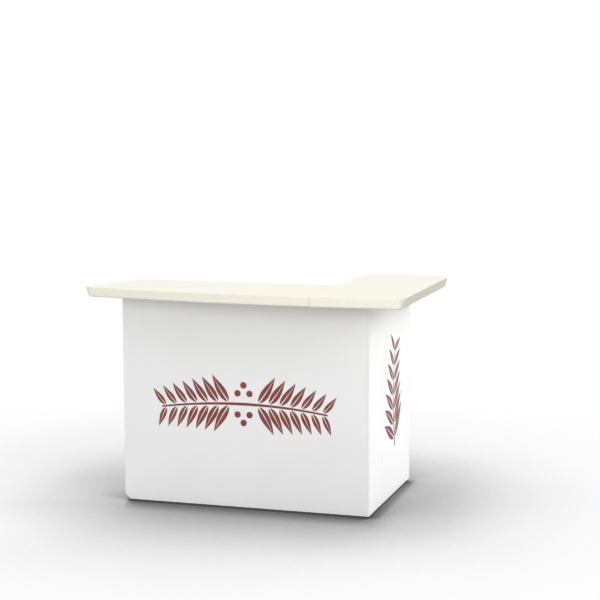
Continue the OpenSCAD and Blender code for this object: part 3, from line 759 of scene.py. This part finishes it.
def makePlate(node, outlineAt, pockets):
    low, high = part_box(node)
    thickness = high.z - low.z
    shape = bmesh.new()
    rim = shape.verts.layers.float.new("rim")
    grain = shape.verts.layers.float.new("grain")
    paintedShadeRim = shape.verts.layers.float.new("paintedShadeRim")
    rings = []
    for rise, inset in edgeProfile(thickness):
        ring = []
        for point in outlineAt(inset):
            vert = shape.verts.new((point.x, point.y, low.z + rise))
            # rim marks the whole edge band, the arris included, which takes the painted-shade edge tone
            vert[rim] = 1.0 if rise < thickness - 0.01 * mm else 0.0
            vert[grain] = grainAt(point, rise, thickness)
            # painted shade along the right side and the left end
            vert[paintedShadeRim] = paintedShadeRimAt(point)
            ring.append(vert)
        rings.append(ring)
    count = len(rings[0])
    for lower, upper in zip(rings, rings[1:]):
        for k in range(count):
            after = (k + 1) % count
            shape.faces.new((lower[k], lower[after], upper[after], upper[k]))
    shape.faces.new(rings[-1])
    shape.faces.new(list(reversed(rings[0])))
    bmesh.ops.remove_doubles(shape, verts=shape.verts[:], dist=1e-7)
    bmesh.ops.recalc_face_normals(shape, faces=shape.faces[:])
    mesh = bpy.data.meshes.new(node + "_plate")
    shape.to_mesh(mesh)
    shape.free()
    mesh.materials.append(finish["counter"])
    piece = asObject(node + "_plate", mesh)
    cutPockets(piece, pockets)
    piece = shaded(piece, counterPlan["fold"])
    return rideOn(piece, bodyOf[node], [node])


# Ribbed underside: pockets left between the ribs, clear of the boards that carry the plates
ribLook = dict(rib=6 * mm, skin=5 * mm, band=16.6 * mm, butt=10 * mm, under=1 * mm)
edgeWall = edgeInset(longHigh.z - longLow.z) + ribLook["butt"]
cornerWall = counterPlan["rightCorner"] - (counterPlan["rightCorner"] - edgeWall) / math.sqrt(2)


def frontEdge(x):
    return bowCentre.y - math.sqrt(counterPlan["bowRadius"] ** 2 - (x - bowCentre.x) ** 2)


def pocketRow(low, high, count, alongX, seat, top):
    start, stop = (low[0], high[0]) if alongX else (low[1], high[1])
    step = (stop - start + ribLook["rib"]) / count
    cells = []
    for k in range(count):
        a, b = list(low), list(high)
        a[0 if alongX else 1] = start + k * step
        b[0 if alongX else 1] = start + (k + 1) * step - ribLook["rib"]
        a[1] = max(a[1], frontEdge(a[0]) + edgeWall, frontEdge(b[0]) + edgeWall)
        cells.append(((*a, seat - ribLook["under"]), (*b, top - ribLook["skin"])))
    return cells


frontLow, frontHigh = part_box("front_panel")
railLow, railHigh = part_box("rear_top_rail")
rightLow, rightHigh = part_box("right_end_panel")
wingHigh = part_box("wing_panel")[1]
band = ribLook["band"]


def longPockets():
    left, right = railLow.x + band, longHigh.x - ribLook["butt"]
    seat, top = longLow.z, longHigh.z
    outer = pocketRow((left, cadLow.y), (right, frontLow.y - band), 6, True, seat, top)
    return outer + pocketRow((left, frontHigh.y + band), (right, railLow.y - band), 6, True, seat, top)


def returnPockets():
    seat, top = returnLow.z, returnHigh.z
    left, right = returnLow.x + edgeWall, returnHigh.x - cornerWall
    rows = (
        (frontEdge(returnLow.x) + edgeWall, frontLow.y - band, 1),
        (frontHigh.y + band, railLow.y - band, 1),
        (railHigh.y + band, returnHigh.y - cornerWall, 4),
    )
    cells = []
    for start, stop, count in rows:
        cells += pocketRow((left, start), (rightLow.x - band, stop), count, False, seat, top)
        cells += pocketRow((rightHigh.x + band, start), (right, stop), count, False, seat, top)
    return cells


makePlate("long_counter", longOutline, longPockets())
makePlate("return_counter", returnOutline, returnPockets())
print("counter plates made")


# Softened copies of the small solids: merged, cleaned of flat cuts and given rounded arrises

softenLook = dict(bevelFrom=math.radians(35), flatWithin=math.radians(0.5), steps=2, fold=50)
mergeWithin = 2e-6


def mergedCopy(node):
    shape = bmesh.new()
    shape.from_mesh(frame["nodes"][node].data)
    bmesh.ops.remove_doubles(shape, verts=shape.verts[:], dist=mergeWithin)
    return shape


def makeSoftened(node, material, width):
    look = softenLook
    shape = mergedCopy(node)
    bmesh.ops.dissolve_limit(
        shape, angle_limit=look["flatWithin"], verts=shape.verts[:], edges=shape.edges[:],
    )
    folds = [
        e for e in shape.edges
        if len(e.link_faces) == 2 and e.calc_face_angle(0.0) > look["bevelFrom"]
    ]
    bmesh.ops.bevel(
        shape, geom=folds, offset=width, segments=look["steps"], profile=0.5, affect="EDGES",
        clamp_overlap=True,
    )
    mesh = bpy.data.meshes.new(node + "_soft")
    shape.to_mesh(mesh)
    shape.free()
    mesh.materials.clear()
    mesh.materials.append(material)
    for face in mesh.polygons:
        face.material_index = 0
    piece = shaded(asObject(node + "_soft", mesh), look["fold"])
    return rideOn(piece, bodyOf[node], [node])


castorNames = ("front_left", "front_right", "rear_left", "rear_right", "wing")
softPieces = [
    ("corner_blocks", "woodX", "plain_wood", 0.8),
    ("left_castor_batten", "woodY", "plain_wood", 0.8),
    ("right_castor_batten", "woodY", "plain_wood", 0.8),
    ("long_counter_saddles", "saddle", "saddle_plastic", 0.8),
    ("return_counter_saddles", "saddle", "saddle_plastic", 0.8),
    ("deck_guard_rail", "rail", "bright_rail", 0.4),
    ("lower_guard_rail", "rail", "bright_rail", 0.4),
    ("upper_guard_rail", "rail", "bright_rail", 0.4),
    ("guard_rail_sockets", "socket", "socket_plastic", 0.8),
    ("shelf_pins", "zinc", "zinc_steel", 0.3),
    ("cabinet_hinge_leaves", "zinc", "zinc_steel", 0.3),
    ("wing_hinge_leaves", "zinc", "zinc_steel", 0.3),
    ("hinge_pins", "pin", "zinc_steel", 0.4),
    ("catch_magnet", "magnet", "socket_plastic", 0.8),
    ("catch_strike", "zinc", "zinc_steel", 0.3),
    ("castor_plates", "zinc", "zinc_steel", 0.4),
    ("castor_kingpins", "pin", "zinc_steel", 0.3),
    ("wing_castor_bracket", "zinc", "zinc_steel", 0.5),
    ("wing_castor_plate", "zinc", "zinc_steel", 0.4),
    ("wing_castor_kingpin", "pin", "zinc_steel", 0.3),
    ("brake_pedal_left", "pedal", "pedal_plastic", 0.5),
    ("brake_pedal_right", "pedal", "pedal_plastic", 0.5),
]
for castor in castorNames:
    softPieces += [
        ("fork_" + castor, "zinc", "zinc_steel", 0.4),
        ("axle_" + castor, "pin", "zinc_steel", 0.5),
        ("hub_" + castor, "hub", "hub_plastic", 0.4),
        ("tyre_" + castor, "rubber", "tyre_rubber", 0.3),
    ]
for node, look, slot, width in softPieces:
    makeSoftened(node, finish[look], width * mm)
print("small pieces made:", len(softPieces))


# Geometry Nodes helpers

def startTree(name, inputs):
    tree = bpy.data.node_groups.new(name, "GeometryNodeTree")
    tree.interface.new_socket("Geometry", in_out="INPUT", socket_type="NodeSocketGeometry")
    for label, kind in inputs:
        tree.interface.new_socket(label, in_out="INPUT", socket_type="NodeSocket" + kind)
    tree.interface.new_socket("Geometry", in_out="OUTPUT", socket_type="NodeSocketGeometry")
    return tree, tree.nodes.new("NodeGroupInput"), tree.nodes.new("NodeGroupOutput")


def grow(name, tree, points, values):  # runs a tree on a cloud of points and keeps the plain mesh
    mesh = bpy.data.meshes.new(name)
    mesh.from_pydata(points, [], [])
    piece = asObject(name, mesh)
    modifier = piece.modifiers.new("grow", "NODES")
    modifier.node_group = tree
    for item in tree.interface.items_tree:
        if item.in_out == "INPUT" and item.name in values:
            modifier[item.identifier] = values[item.name]
    piece.update_tag()
    return settled(piece)


def endTree(tree, groupIn, groupOut, geometry):
    realized = outOf(tree, "GeometryNodeRealizeInstances", {0: geometry})
    inputs = {"Geometry": realized, "Material": groupIn.outputs["Material"]}
    tree.links.new(outOf(tree, "GeometryNodeSetMaterial", inputs), groupOut.inputs[0])


# Screw heads: domes with a cross recess, set on points and turned to an axis

screwLook = dict(
    radius=3.6 * mm,
    height=1.6 * mm,
    slotWidth=0.9 * mm,
    slotLength=4.2 * mm,
    slotDepth=0.9 * mm,
    fold=30,
)


def makeScrewTree():
    tree, groupIn, groupOut = startTree("screw_heads", [
        ("Head Radius", "Float"), ("Head Height", "Float"), ("Slot Width", "Float"),
        ("Slot Length", "Float"), ("Slot Depth", "Float"), ("Axis", "Vector"), ("Material", "Material"),
    ])
    given = groupIn.outputs
    ball = outOf(tree, "GeometryNodeMeshUVSphere", {"Segments": 24, "Rings": 12, "Radius": 1.0})
    scale = xyzOf(tree, given["Head Radius"], given["Head Radius"], given["Head Height"])
    dome = outOf(tree, "GeometryNodeTransform", {"Geometry": ball, "Scale": scale})
    recess = addNode(tree, "GeometryNodeMeshBoolean", {0: dome}, operation="DIFFERENCE")
    depth = times(tree, given["Slot Depth"], 2.0)
    lift = xyzOf(tree, z=given["Head Height"])
    for along, across in (("Slot Length", "Slot Width"), ("Slot Width", "Slot Length")):
        size = xyzOf(tree, given[along], given[across], depth)
        bar = outOf(tree, "GeometryNodeMeshCube", {"Size": size})
        raised = outOf(tree, "GeometryNodeTransform", {"Geometry": bar, "Translation": lift})
        tree.links.new(raised, recess.inputs[1])
    turn = outOf(tree, "FunctionNodeAlignRotationToVector", {"Vector": given["Axis"]}, axis="Z")
    points = outOf(tree, "GeometryNodeMeshToPoints", {"Mesh": given["Geometry"]})
    heads = outOf(tree, "GeometryNodeInstanceOnPoints", {
        "Points": points, "Instance": recess.outputs[0], "Rotation": turn,
    })
    endTree(tree, groupIn, groupOut, heads)
    return tree


screwTree = makeScrewTree()


def looseSolids(node):  # boxes of a group node's separate solids
    shape = mergedCopy(node)
    seen, boxes = set(), []
    for start in shape.verts:
        if start in seen:
            continue
        stack, found = [start], []
        seen.add(start)
        while stack:
            vert = stack.pop()
            found.append(vert.co.copy())
            for edge in vert.link_edges:
                other = edge.other_vert(vert)
                if other not in seen:
                    seen.add(other)
                    stack.append(other)
        low = Vector([min(p[k] for p in found) for k in range(3)])
        high = Vector([max(p[k] for p in found) for k in range(3)])
        boxes.append((low, high))
    shape.free()
    return boxes


def makeScrews(node, sides):  # sides lists the axis and end at which each solid shows a head
    for axis, end in sides:
        points = []
        for low, high in looseSolids(node):
            point = (low + high) / 2
            edge = high if end > 0 else low
            point[axis] = edge[axis] - end * screwLook["height"]
            points.append(tuple(point))
        direction = [0.0, 0.0, 0.0]
        direction[axis] = float(end)
        name = node + "_heads" + ("_top" if end > 0 else "")
        piece = grow(name, screwTree, points, {
            "Head Radius": screwLook["radius"], "Head Height": screwLook["height"],
            "Slot Width": screwLook["slotWidth"], "Slot Length": screwLook["slotLength"],
            "Slot Depth": screwLook["slotDepth"], "Axis": direction, "Material": finish["pin"],
        })
        rideOn(shaded(piece, screwLook["fold"]), bodyOf[node], [node])


makeScrews("cabinet_hinge_screws", [(0, -1)])
makeScrews("wing_screws", [(0, -1)])
makeScrews("castor_screws", [(2, -1)])
makeScrews("wing_castor_bolts", [(2, -1), (2, 1)])
print("screw heads made")


# Printed leaf branches: a stem and pairs of split leaves, drawn flat and given the print's thickness

leafLook = dict(stemSteps=80, steps=26, rows=3, belly=0.72, sweep=0.3, berrySteps=28)


def makeBranchTree():
    tree, groupIn, groupOut = startTree("leaf_branch", [
        ("Length", "Float"), ("Arch", "Float"), ("Stem Width", "Float"), ("Leaf Length", "Float"),
        ("Leaf Width", "Float"), ("Vein", "Float"), ("Lean", "Float"), ("Stand Off", "Float"),
        ("Taper", "Float"), ("Mirrored", "Float"), ("Berry", "Float"), ("Thickness", "Float"),
        ("Material", "Material"),
    ])
    given = groupIn.outputs

    def choose(whenMirrored, otherwise):
        return outOf(tree, "ShaderNodeMix", {0: given["Mirrored"], 2: otherwise, 3: whenMirrored})

    def archAt(u):  # height of the stem at u from -0.5 to 0.5
        fall = times(tree, times(tree, u, u), 4.0)
        return times(tree, given["Arch"], minus(tree, 1.0, fall))

    def sizeAt(u):  # leaves and stem shrink towards the growing ends
        away = mathOf(tree, "ABSOLUTE", times(tree, u, 2.0))
        reach = choose(away, plus(tree, u, 0.5))
        return minus(tree, 1.0, times(tree, reach, given["Taper"]))

    def grid(along, across):
        inputs = {"Size X": 1.0, "Size Y": 1.0, "Vertices X": along, "Vertices Y": across}
        return outOf(tree, "GeometryNodeMeshGrid", inputs)

    def moved(geometry, x, y):
        return outOf(tree, "GeometryNodeSetPosition", {"Geometry": geometry, "Position": xyzOf(tree, x, y)})

    def flipped(mesh):
        return outOf(tree, "GeometryNodeFlipFaces", {"Mesh": mesh})

    def joined(*shapes):
        join = addNode(tree, "GeometryNodeJoinGeometry")
        for shape in shapes:
            tree.links.new(shape, join.inputs[0])
        return join.outputs[0]

    def stored(label):
        return outOf(tree, "GeometryNodeInputNamedAttribute", {"Name": label}, data_type="FLOAT")

    position = outOf(tree, "GeometryNodeInputPosition")
    spot = addNode(tree, "ShaderNodeSeparateXYZ", {0: position}).outputs
    u = spot[0]

    # stem
    girth = times(tree, times(tree, spot[1], given["Stem Width"]), sizeAt(u))
    run = times(tree, u, given["Length"])
    stem = moved(grid(leafLook["stemSteps"], 2), run, plus(tree, girth, archAt(u)))

    # one leaf along +X, in two halves with a bare vein between them
    half = grid(leafLook["steps"], leafLook["rows"])
    along = plus(tree, u, 0.5)
    across = plus(tree, spot[1], 0.5)
    swell = mathOf(tree, "SINE", times(tree, mathOf(tree, "POWER", along, leafLook["belly"]), math.pi))
    breadth = times(tree, times(tree, given["Leaf Width"], 0.5), swell)
    opening = times(tree, given["Vein"], minus(tree, 1.0, along))
    side = plus(tree, times(tree, across, breadth), times(tree, opening, 0.5))
    sweep = times(tree, times(tree, along, along), times(tree, given["Leaf Width"], leafLook["sweep"]))
    length = plus(tree, times(tree, along, given["Leaf Length"]), given["Stand Off"])
    upper = moved(half, length, plus(tree, side, sweep))
    lower = flipped(moved(half, length, minus(tree, sweep, side)))
    leaf = joined(upper, lower)
    mirror = flipped(outOf(tree, "GeometryNodeTransform", {"Geometry": leaf, "Scale": (1, -1, 1)}))

    # leaves on both sides of the stem and loose berries, at the given points:
    # x is the place along the stem, y marks a berry, z is the berry's height over the stem
    slope = mathOf(tree, "DIVIDE", times(tree, times(tree, u, given["Arch"]), -8.0), given["Length"])
    backwards = times(tree, mathOf(tree, "LESS_THAN", u, 0.0), given["Mirrored"])
    heading = plus(tree, mathOf(tree, "ARCTANGENT", slope), times(tree, backwards, math.pi))
    points = outOf(tree, "GeometryNodeMeshToPoints", {"Mesh": given["Geometry"]})
    for label, value in (("heading", heading), ("size", sizeAt(u)), ("berry", spot[1])):
        points = outOf(tree, "GeometryNodeStoreNamedAttribute", {
            "Geometry": points, "Name": label, "Value": value,
        }, data_type="FLOAT", domain="POINT")
    seats = moved(points, run, plus(tree, archAt(u), spot[2]))
    grown = stored("size")
    shapes = [stem]
    for shape, sign in ((leaf, 1.0), (mirror, -1.0)):
        angle = plus(tree, stored("heading"), times(tree, given["Lean"], sign))
        turn = outOf(tree, "FunctionNodeAxisAngleToRotation", {"Axis": (0, 0, 1), "Angle": angle})
        shapes.append(outOf(tree, "GeometryNodeInstanceOnPoints", {
            "Points": seats, "Instance": shape, "Selection": mathOf(tree, "LESS_THAN", stored("berry"), 0.5),
            "Rotation": turn, "Scale": xyzOf(tree, grown, grown, grown),
        }))
    inputs = {"Vertices": leafLook["berrySteps"], "Radius": given["Berry"]}
    disc = outOf(tree, "GeometryNodeMeshCircle", inputs, fill_type="NGON")
    shapes.append(outOf(tree, "GeometryNodeInstanceOnPoints", {
        "Points": seats, "Instance": disc, "Selection": mathOf(tree, "GREATER_THAN", stored("berry"), 0.5),
    }))
    whole = outOf(tree, "GeometryNodeRealizeInstances", {0: joined(*shapes)})
    raised = outOf(tree, "GeometryNodeExtrudeMesh", {
        "Mesh": whole, "Offset": (0, 0, 1), "Offset Scale": given["Thickness"], "Individual": False,
    })
    closed = joined(raised, flipped(whole))
    welded = outOf(tree, "GeometryNodeMergeByDistance", {"Geometry": closed, "Distance": 1e-6})
    endTree(tree, groupIn, groupOut, welded)
    return tree


branchTree = makeBranchTree()
printLook = dict(thickness=0.3 * mm, sunk=0.1 * mm)
frontBranch = dict(
    pairs=7, bare=0.05, length=0.78, arch=0.03, stem=0.013, leafLength=0.15, leafWidth=0.040, lean=54,
    standOff=0.014, taper=0.40, vein=0.006, mirrored=1.0, berry=0.015, centre=(-0.032, 0.452),
    berries=((0, 0.085), (-0.036, 0.048), (0.036, 0.048), (0, -0.085), (-0.036, -0.048), (0.036, -0.048)),
)
sideBranch = dict(
    pairs=7, bare=0.0, length=0.48, arch=0.03, stem=0.014, leafLength=0.20, leafWidth=0.049, lean=48,
    standOff=0.014, taper=0.50, vein=0.007, mirrored=0.0, berry=0.015, centre=(0.19, 0.475), berries=(),
)


def growBranch(name, look):
    points = [(u, 1.0, height) for u, height in look["berries"]]
    for k in range(look["pairs"]):
        share = (k + 0.5) / look["pairs"]
        if look["mirrored"]:
            out = look["bare"] + (0.5 - look["bare"]) * share
            points += [(out, 0.0, 0.0), (-out, 0.0, 0.0)]
        else:
            points.append((share - 0.5, 0.0, 0.0))
    return grow(name, branchTree, points, {
        "Length": look["length"], "Arch": look["arch"], "Stem Width": look["stem"],
        "Leaf Length": look["leafLength"], "Leaf Width": look["leafWidth"], "Vein": look["vein"],
        "Lean": math.radians(look["lean"]), "Stand Off": look["standOff"], "Taper": look["taper"],
        "Mirrored": look["mirrored"], "Berry": look["berry"], "Thickness": printLook["thickness"],
        "Material": finish["ink"],
    })


def layPrint(piece, across, up, outward, corner):  # stands the flat print on a panel's face
    turn = Matrix((across, up, outward)).transposed().to_4x4()
    piece.data.transform(Matrix.Translation(corner) @ turn)
    piece.data.update()
    return piece


frontPrint = growBranch("front_leaf_print", frontBranch)
frontCorner = Vector((frontBranch["centre"][0], frontLow.y + printLook["sunk"], frontBranch["centre"][1]))
layPrint(frontPrint, Vector((1, 0, 0)), Vector((0, 0, 1)), Vector((0, -1, 0)), frontCorner)
rideOn(frontPrint, "cabinet")
sidePrint = growBranch("side_leaf_print", sideBranch)
sideCorner = Vector((rightHigh.x - printLook["sunk"], sideBranch["centre"][0], sideBranch["centre"][1]))
layPrint(sidePrint, Vector((0, 0, 1)), Vector((0, -1, 0)), Vector((1, 0, 0)), sideCorner)
rideOn(sidePrint, "return_wing")
print("prints made")


# Stage: pale floor that keeps the contact shadow, white surround and soft lamps

stageLook = dict(
    floorSize=40.0,
    bounceNear=0.12,
    bounceFar=0.54,
    bounceReach=0.45,
    bounceSqueeze=(6.0, 1.0, 1.0),
    shadeReach=2.5,
    shadeLean=(0.22, -0.142, 0.965),
    shadePower=1.95,
    shadeGain=1.06,
    coverFrom=0.875,
    wallReach=0.5,
    wallFrom=0.95,
    contactFront=0.16,
    contactRight=0.05,
    contactRear=0.012,
    contactLeft=0.012,
    contactPower=1.3,
    rightTurn=(-0.02, 0.05),
    leftTurn=(0.0, 0.06),
    shadeLeast=0.068,
    shadeSamples=16,
    surround=0.5,
)
# Where the broad shade is deeper, or paler if the depth is negative; atWall ones need a panel close by
shadeSpots = [
    dict(centre=(0.50, -0.45, 0.0), spread=(0.16, 0.25, 1.0), depth=0.17, atWall=False),
    dict(centre=(0.56, -0.30, 0.0), spread=(0.05, 0.10, 1.0), depth=0.29, atWall=False),
    dict(centre=(0.55, 0.74, 0.0), spread=(0.25, 0.25, 1.0), depth=0.20, atWall=False),
    dict(centre=(0.53, 0.60, 0.0), spread=(0.07, 0.10, 1.0), depth=0.28, atWall=True),
    dict(centre=(0.60, 0.28, 0.0), spread=(0.07, 0.20, 1.0), depth=-0.2, atWall=True),
    dict(centre=(0.84, -0.25, 0.0), spread=(0.13, 0.25, 1.0), depth=0.11, atWall=False),
    dict(centre=(-0.94, 0.02, 0.0), spread=(0.14, 0.38, 1.0), depth=0.11, atWall=False),
    dict(centre=(-0.63, -0.15, 0.0), spread=(0.045, 0.07, 1.0), depth=-0.28, atWall=False),
    dict(centre=(-0.98, -0.85, 0.0), spread=(0.22, 0.30, 1.0), depth=-0.11, atWall=False),
]
lamps = [
    dict(name="front_lamp", turn=-15, height=13, width=32, strength=1.32, gloss=True),
    dict(name="right_lamp", turn=72, height=28, width=40, strength=2.0, gloss=True),
    dict(name="back_lamp", turn=190, height=25, width=50, strength=0.5, gloss=False),
]


def throughCamera(tree):  # 1 for what the camera, a reflection or clear plastic sees
    path = addNode(tree, "ShaderNodeLightPath").outputs
    seen = mathOf(tree, "MAXIMUM", path["Is Camera Ray"], path["Is Glossy Ray"])
    return mathOf(tree, "MAXIMUM", seen, path["Is Transmission Ray"])


def distanceFromFoot(tree, spot):  # how far a floor point lies outside the panels' footprint
    footLow = Vector((frontLow.x, frontLow.y, -1.0))
    footHigh = Vector((frontHigh.x, wingHigh.y, 1.0))
    centred = vectorOf(tree, "SUBTRACT", spot, (footLow + footHigh) / 2)
    over = vectorOf(tree, "SUBTRACT", vectorOf(tree, "ABSOLUTE", centred), (footHigh - footLow) / 2)
    outside = vectorOf(tree, "MAXIMUM", over, (0, 0, 0))
    return lengthOf(tree, vectorOf(tree, "MULTIPLY", outside, stageLook["bounceSqueeze"]))


def softSpot(tree, spot, centre, spread):  # 1 at the centre, fading out as a bell
    reach = lengthOf(tree, vectorOf(tree, "DIVIDE", vectorOf(tree, "SUBTRACT", spot, centre), spread))
    return mathOf(tree, "EXPONENT", times(tree, times(tree, reach, reach), -0.5))


def openness(tree, inputs):  # share of the sky that a floor point sees
    node = addNode(tree, "ShaderNodeAmbientOcclusion", inputs, samples=stageLook["shadeSamples"])
    return node.outputs["AO"]


def broadShade(tree, spot):  # leans away from the light, and is deeper or paler at the given spots
    look = stageLook
    leaning = xyzOf(tree, *look["shadeLean"])
    unblocked = openness(tree, {"Distance": look["shadeReach"], "Normal": leaning})
    shade = times(tree, mathOf(tree, "POWER", unblocked, look["shadePower"]), look["shadeGain"])
    covered = remap(tree, unblocked, 1.0, look["coverFrom"], 0.0, 1.0)
    walled = remap(tree, openness(tree, {"Distance": look["wallReach"]}), 1.0, look["wallFrom"], 0.0, 1.0)
    for place in shadeSpots:
        present = walled if place["atWall"] else covered
        bell = times(tree, softSpot(tree, spot, place["centre"], place["spread"]), present)
        shade = times(tree, shade, minus(tree, 1.0, times(tree, bell, place["depth"])))
    return shade


def contactShade(tree, spot):  # close to the foot, widest along the front
    look = stageLook
    along, back, _ = addNode(tree, "ShaderNodeSeparateXYZ", {0: spot}).outputs
    right = remap(tree, back, 0.0, wingHigh.y, look["contactRight"], look["contactRear"])
    turnFrom, turnTo = (frontHigh.x + step for step in look["rightTurn"])
    right = remap(tree, along, turnFrom, turnTo, look["contactFront"], right)
    turnFrom, turnTo = (frontLow.x + step for step in look["leftTurn"])
    left = remap(tree, along, turnFrom, turnTo, look["contactLeft"], look["contactFront"])
    near = openness(tree, {"Distance": mathOf(tree, "MINIMUM", right, left)})
    return mathOf(tree, "POWER", near, look["contactPower"])


def makeFloor():
    look = stageLook
    half = look["floorSize"] / 2
    mesh = bpy.data.meshes.new("floor")
    corners = [(-half, -half, 0), (half, -half, 0), (half, half, 0), (-half, half, 0)]
    mesh.from_pydata(corners, [], [(0, 1, 2, 3)])
    floor = asObject("floor", mesh)
    material = bpy.data.materials.new("floor_white")
    material.use_nodes = True
    tree = material.node_tree
    tree.nodes.clear()
    spot = addNode(tree, "ShaderNodeTexCoord").outputs["Object"]
    shade = times(tree, broadShade(tree, spot), contactShade(tree, spot))
    shade = mathOf(tree, "MAXIMUM", shade, look["shadeLeast"])
    pale = mixColour(tree, shade, (0, 0, 0, 1), (1, 1, 1, 1))
    shown = outOf(tree, "ShaderNodeEmission", {"Color": pale, "Strength": 1.0})
    away = distanceFromFoot(tree, spot)
    bounce = remap(tree, away, 0.0, look["bounceReach"], look["bounceNear"], look["bounceFar"])
    matt = outOf(tree, "ShaderNodeBsdfDiffuse", {"Color": bounce})
    mixed = outOf(tree, "ShaderNodeMixShader", {0: throughCamera(tree), 1: matt, 2: shown})
    addNode(tree, "ShaderNodeOutputMaterial", {"Surface": mixed})
    mesh.materials.append(material)


def makeSurround():
    world = bpy.data.worlds.new("surround")
    world.use_nodes = True
    scene.world = world
    tree = world.node_tree
    dim = stageLook["surround"]
    strength = plus(tree, dim, times(tree, throughCamera(tree), 1.0 - dim))
    background = tree.nodes["Background"]
    background.inputs["Color"].default_value = (1, 1, 1, 1)
    tree.links.new(strength, background.inputs["Strength"])


def makeLamp(settings):  # turn is from the front towards the right, height is above the horizon
    light = bpy.data.lights.new(settings["name"], "SUN")
    light.angle = math.radians(settings["width"])
    light.energy = settings["strength"]
    lamp = bpy.data.objects.new(settings["name"], light)
    lamp.rotation_euler = (math.radians(90 - settings["height"]), 0, math.radians(settings["turn"]))
    lamp.visible_glossy = settings["gloss"]
    scene.collection.objects.link(lamp)


makeFloor()
makeSurround()
for settings in lamps:
    makeLamp(settings)
print("stage made")
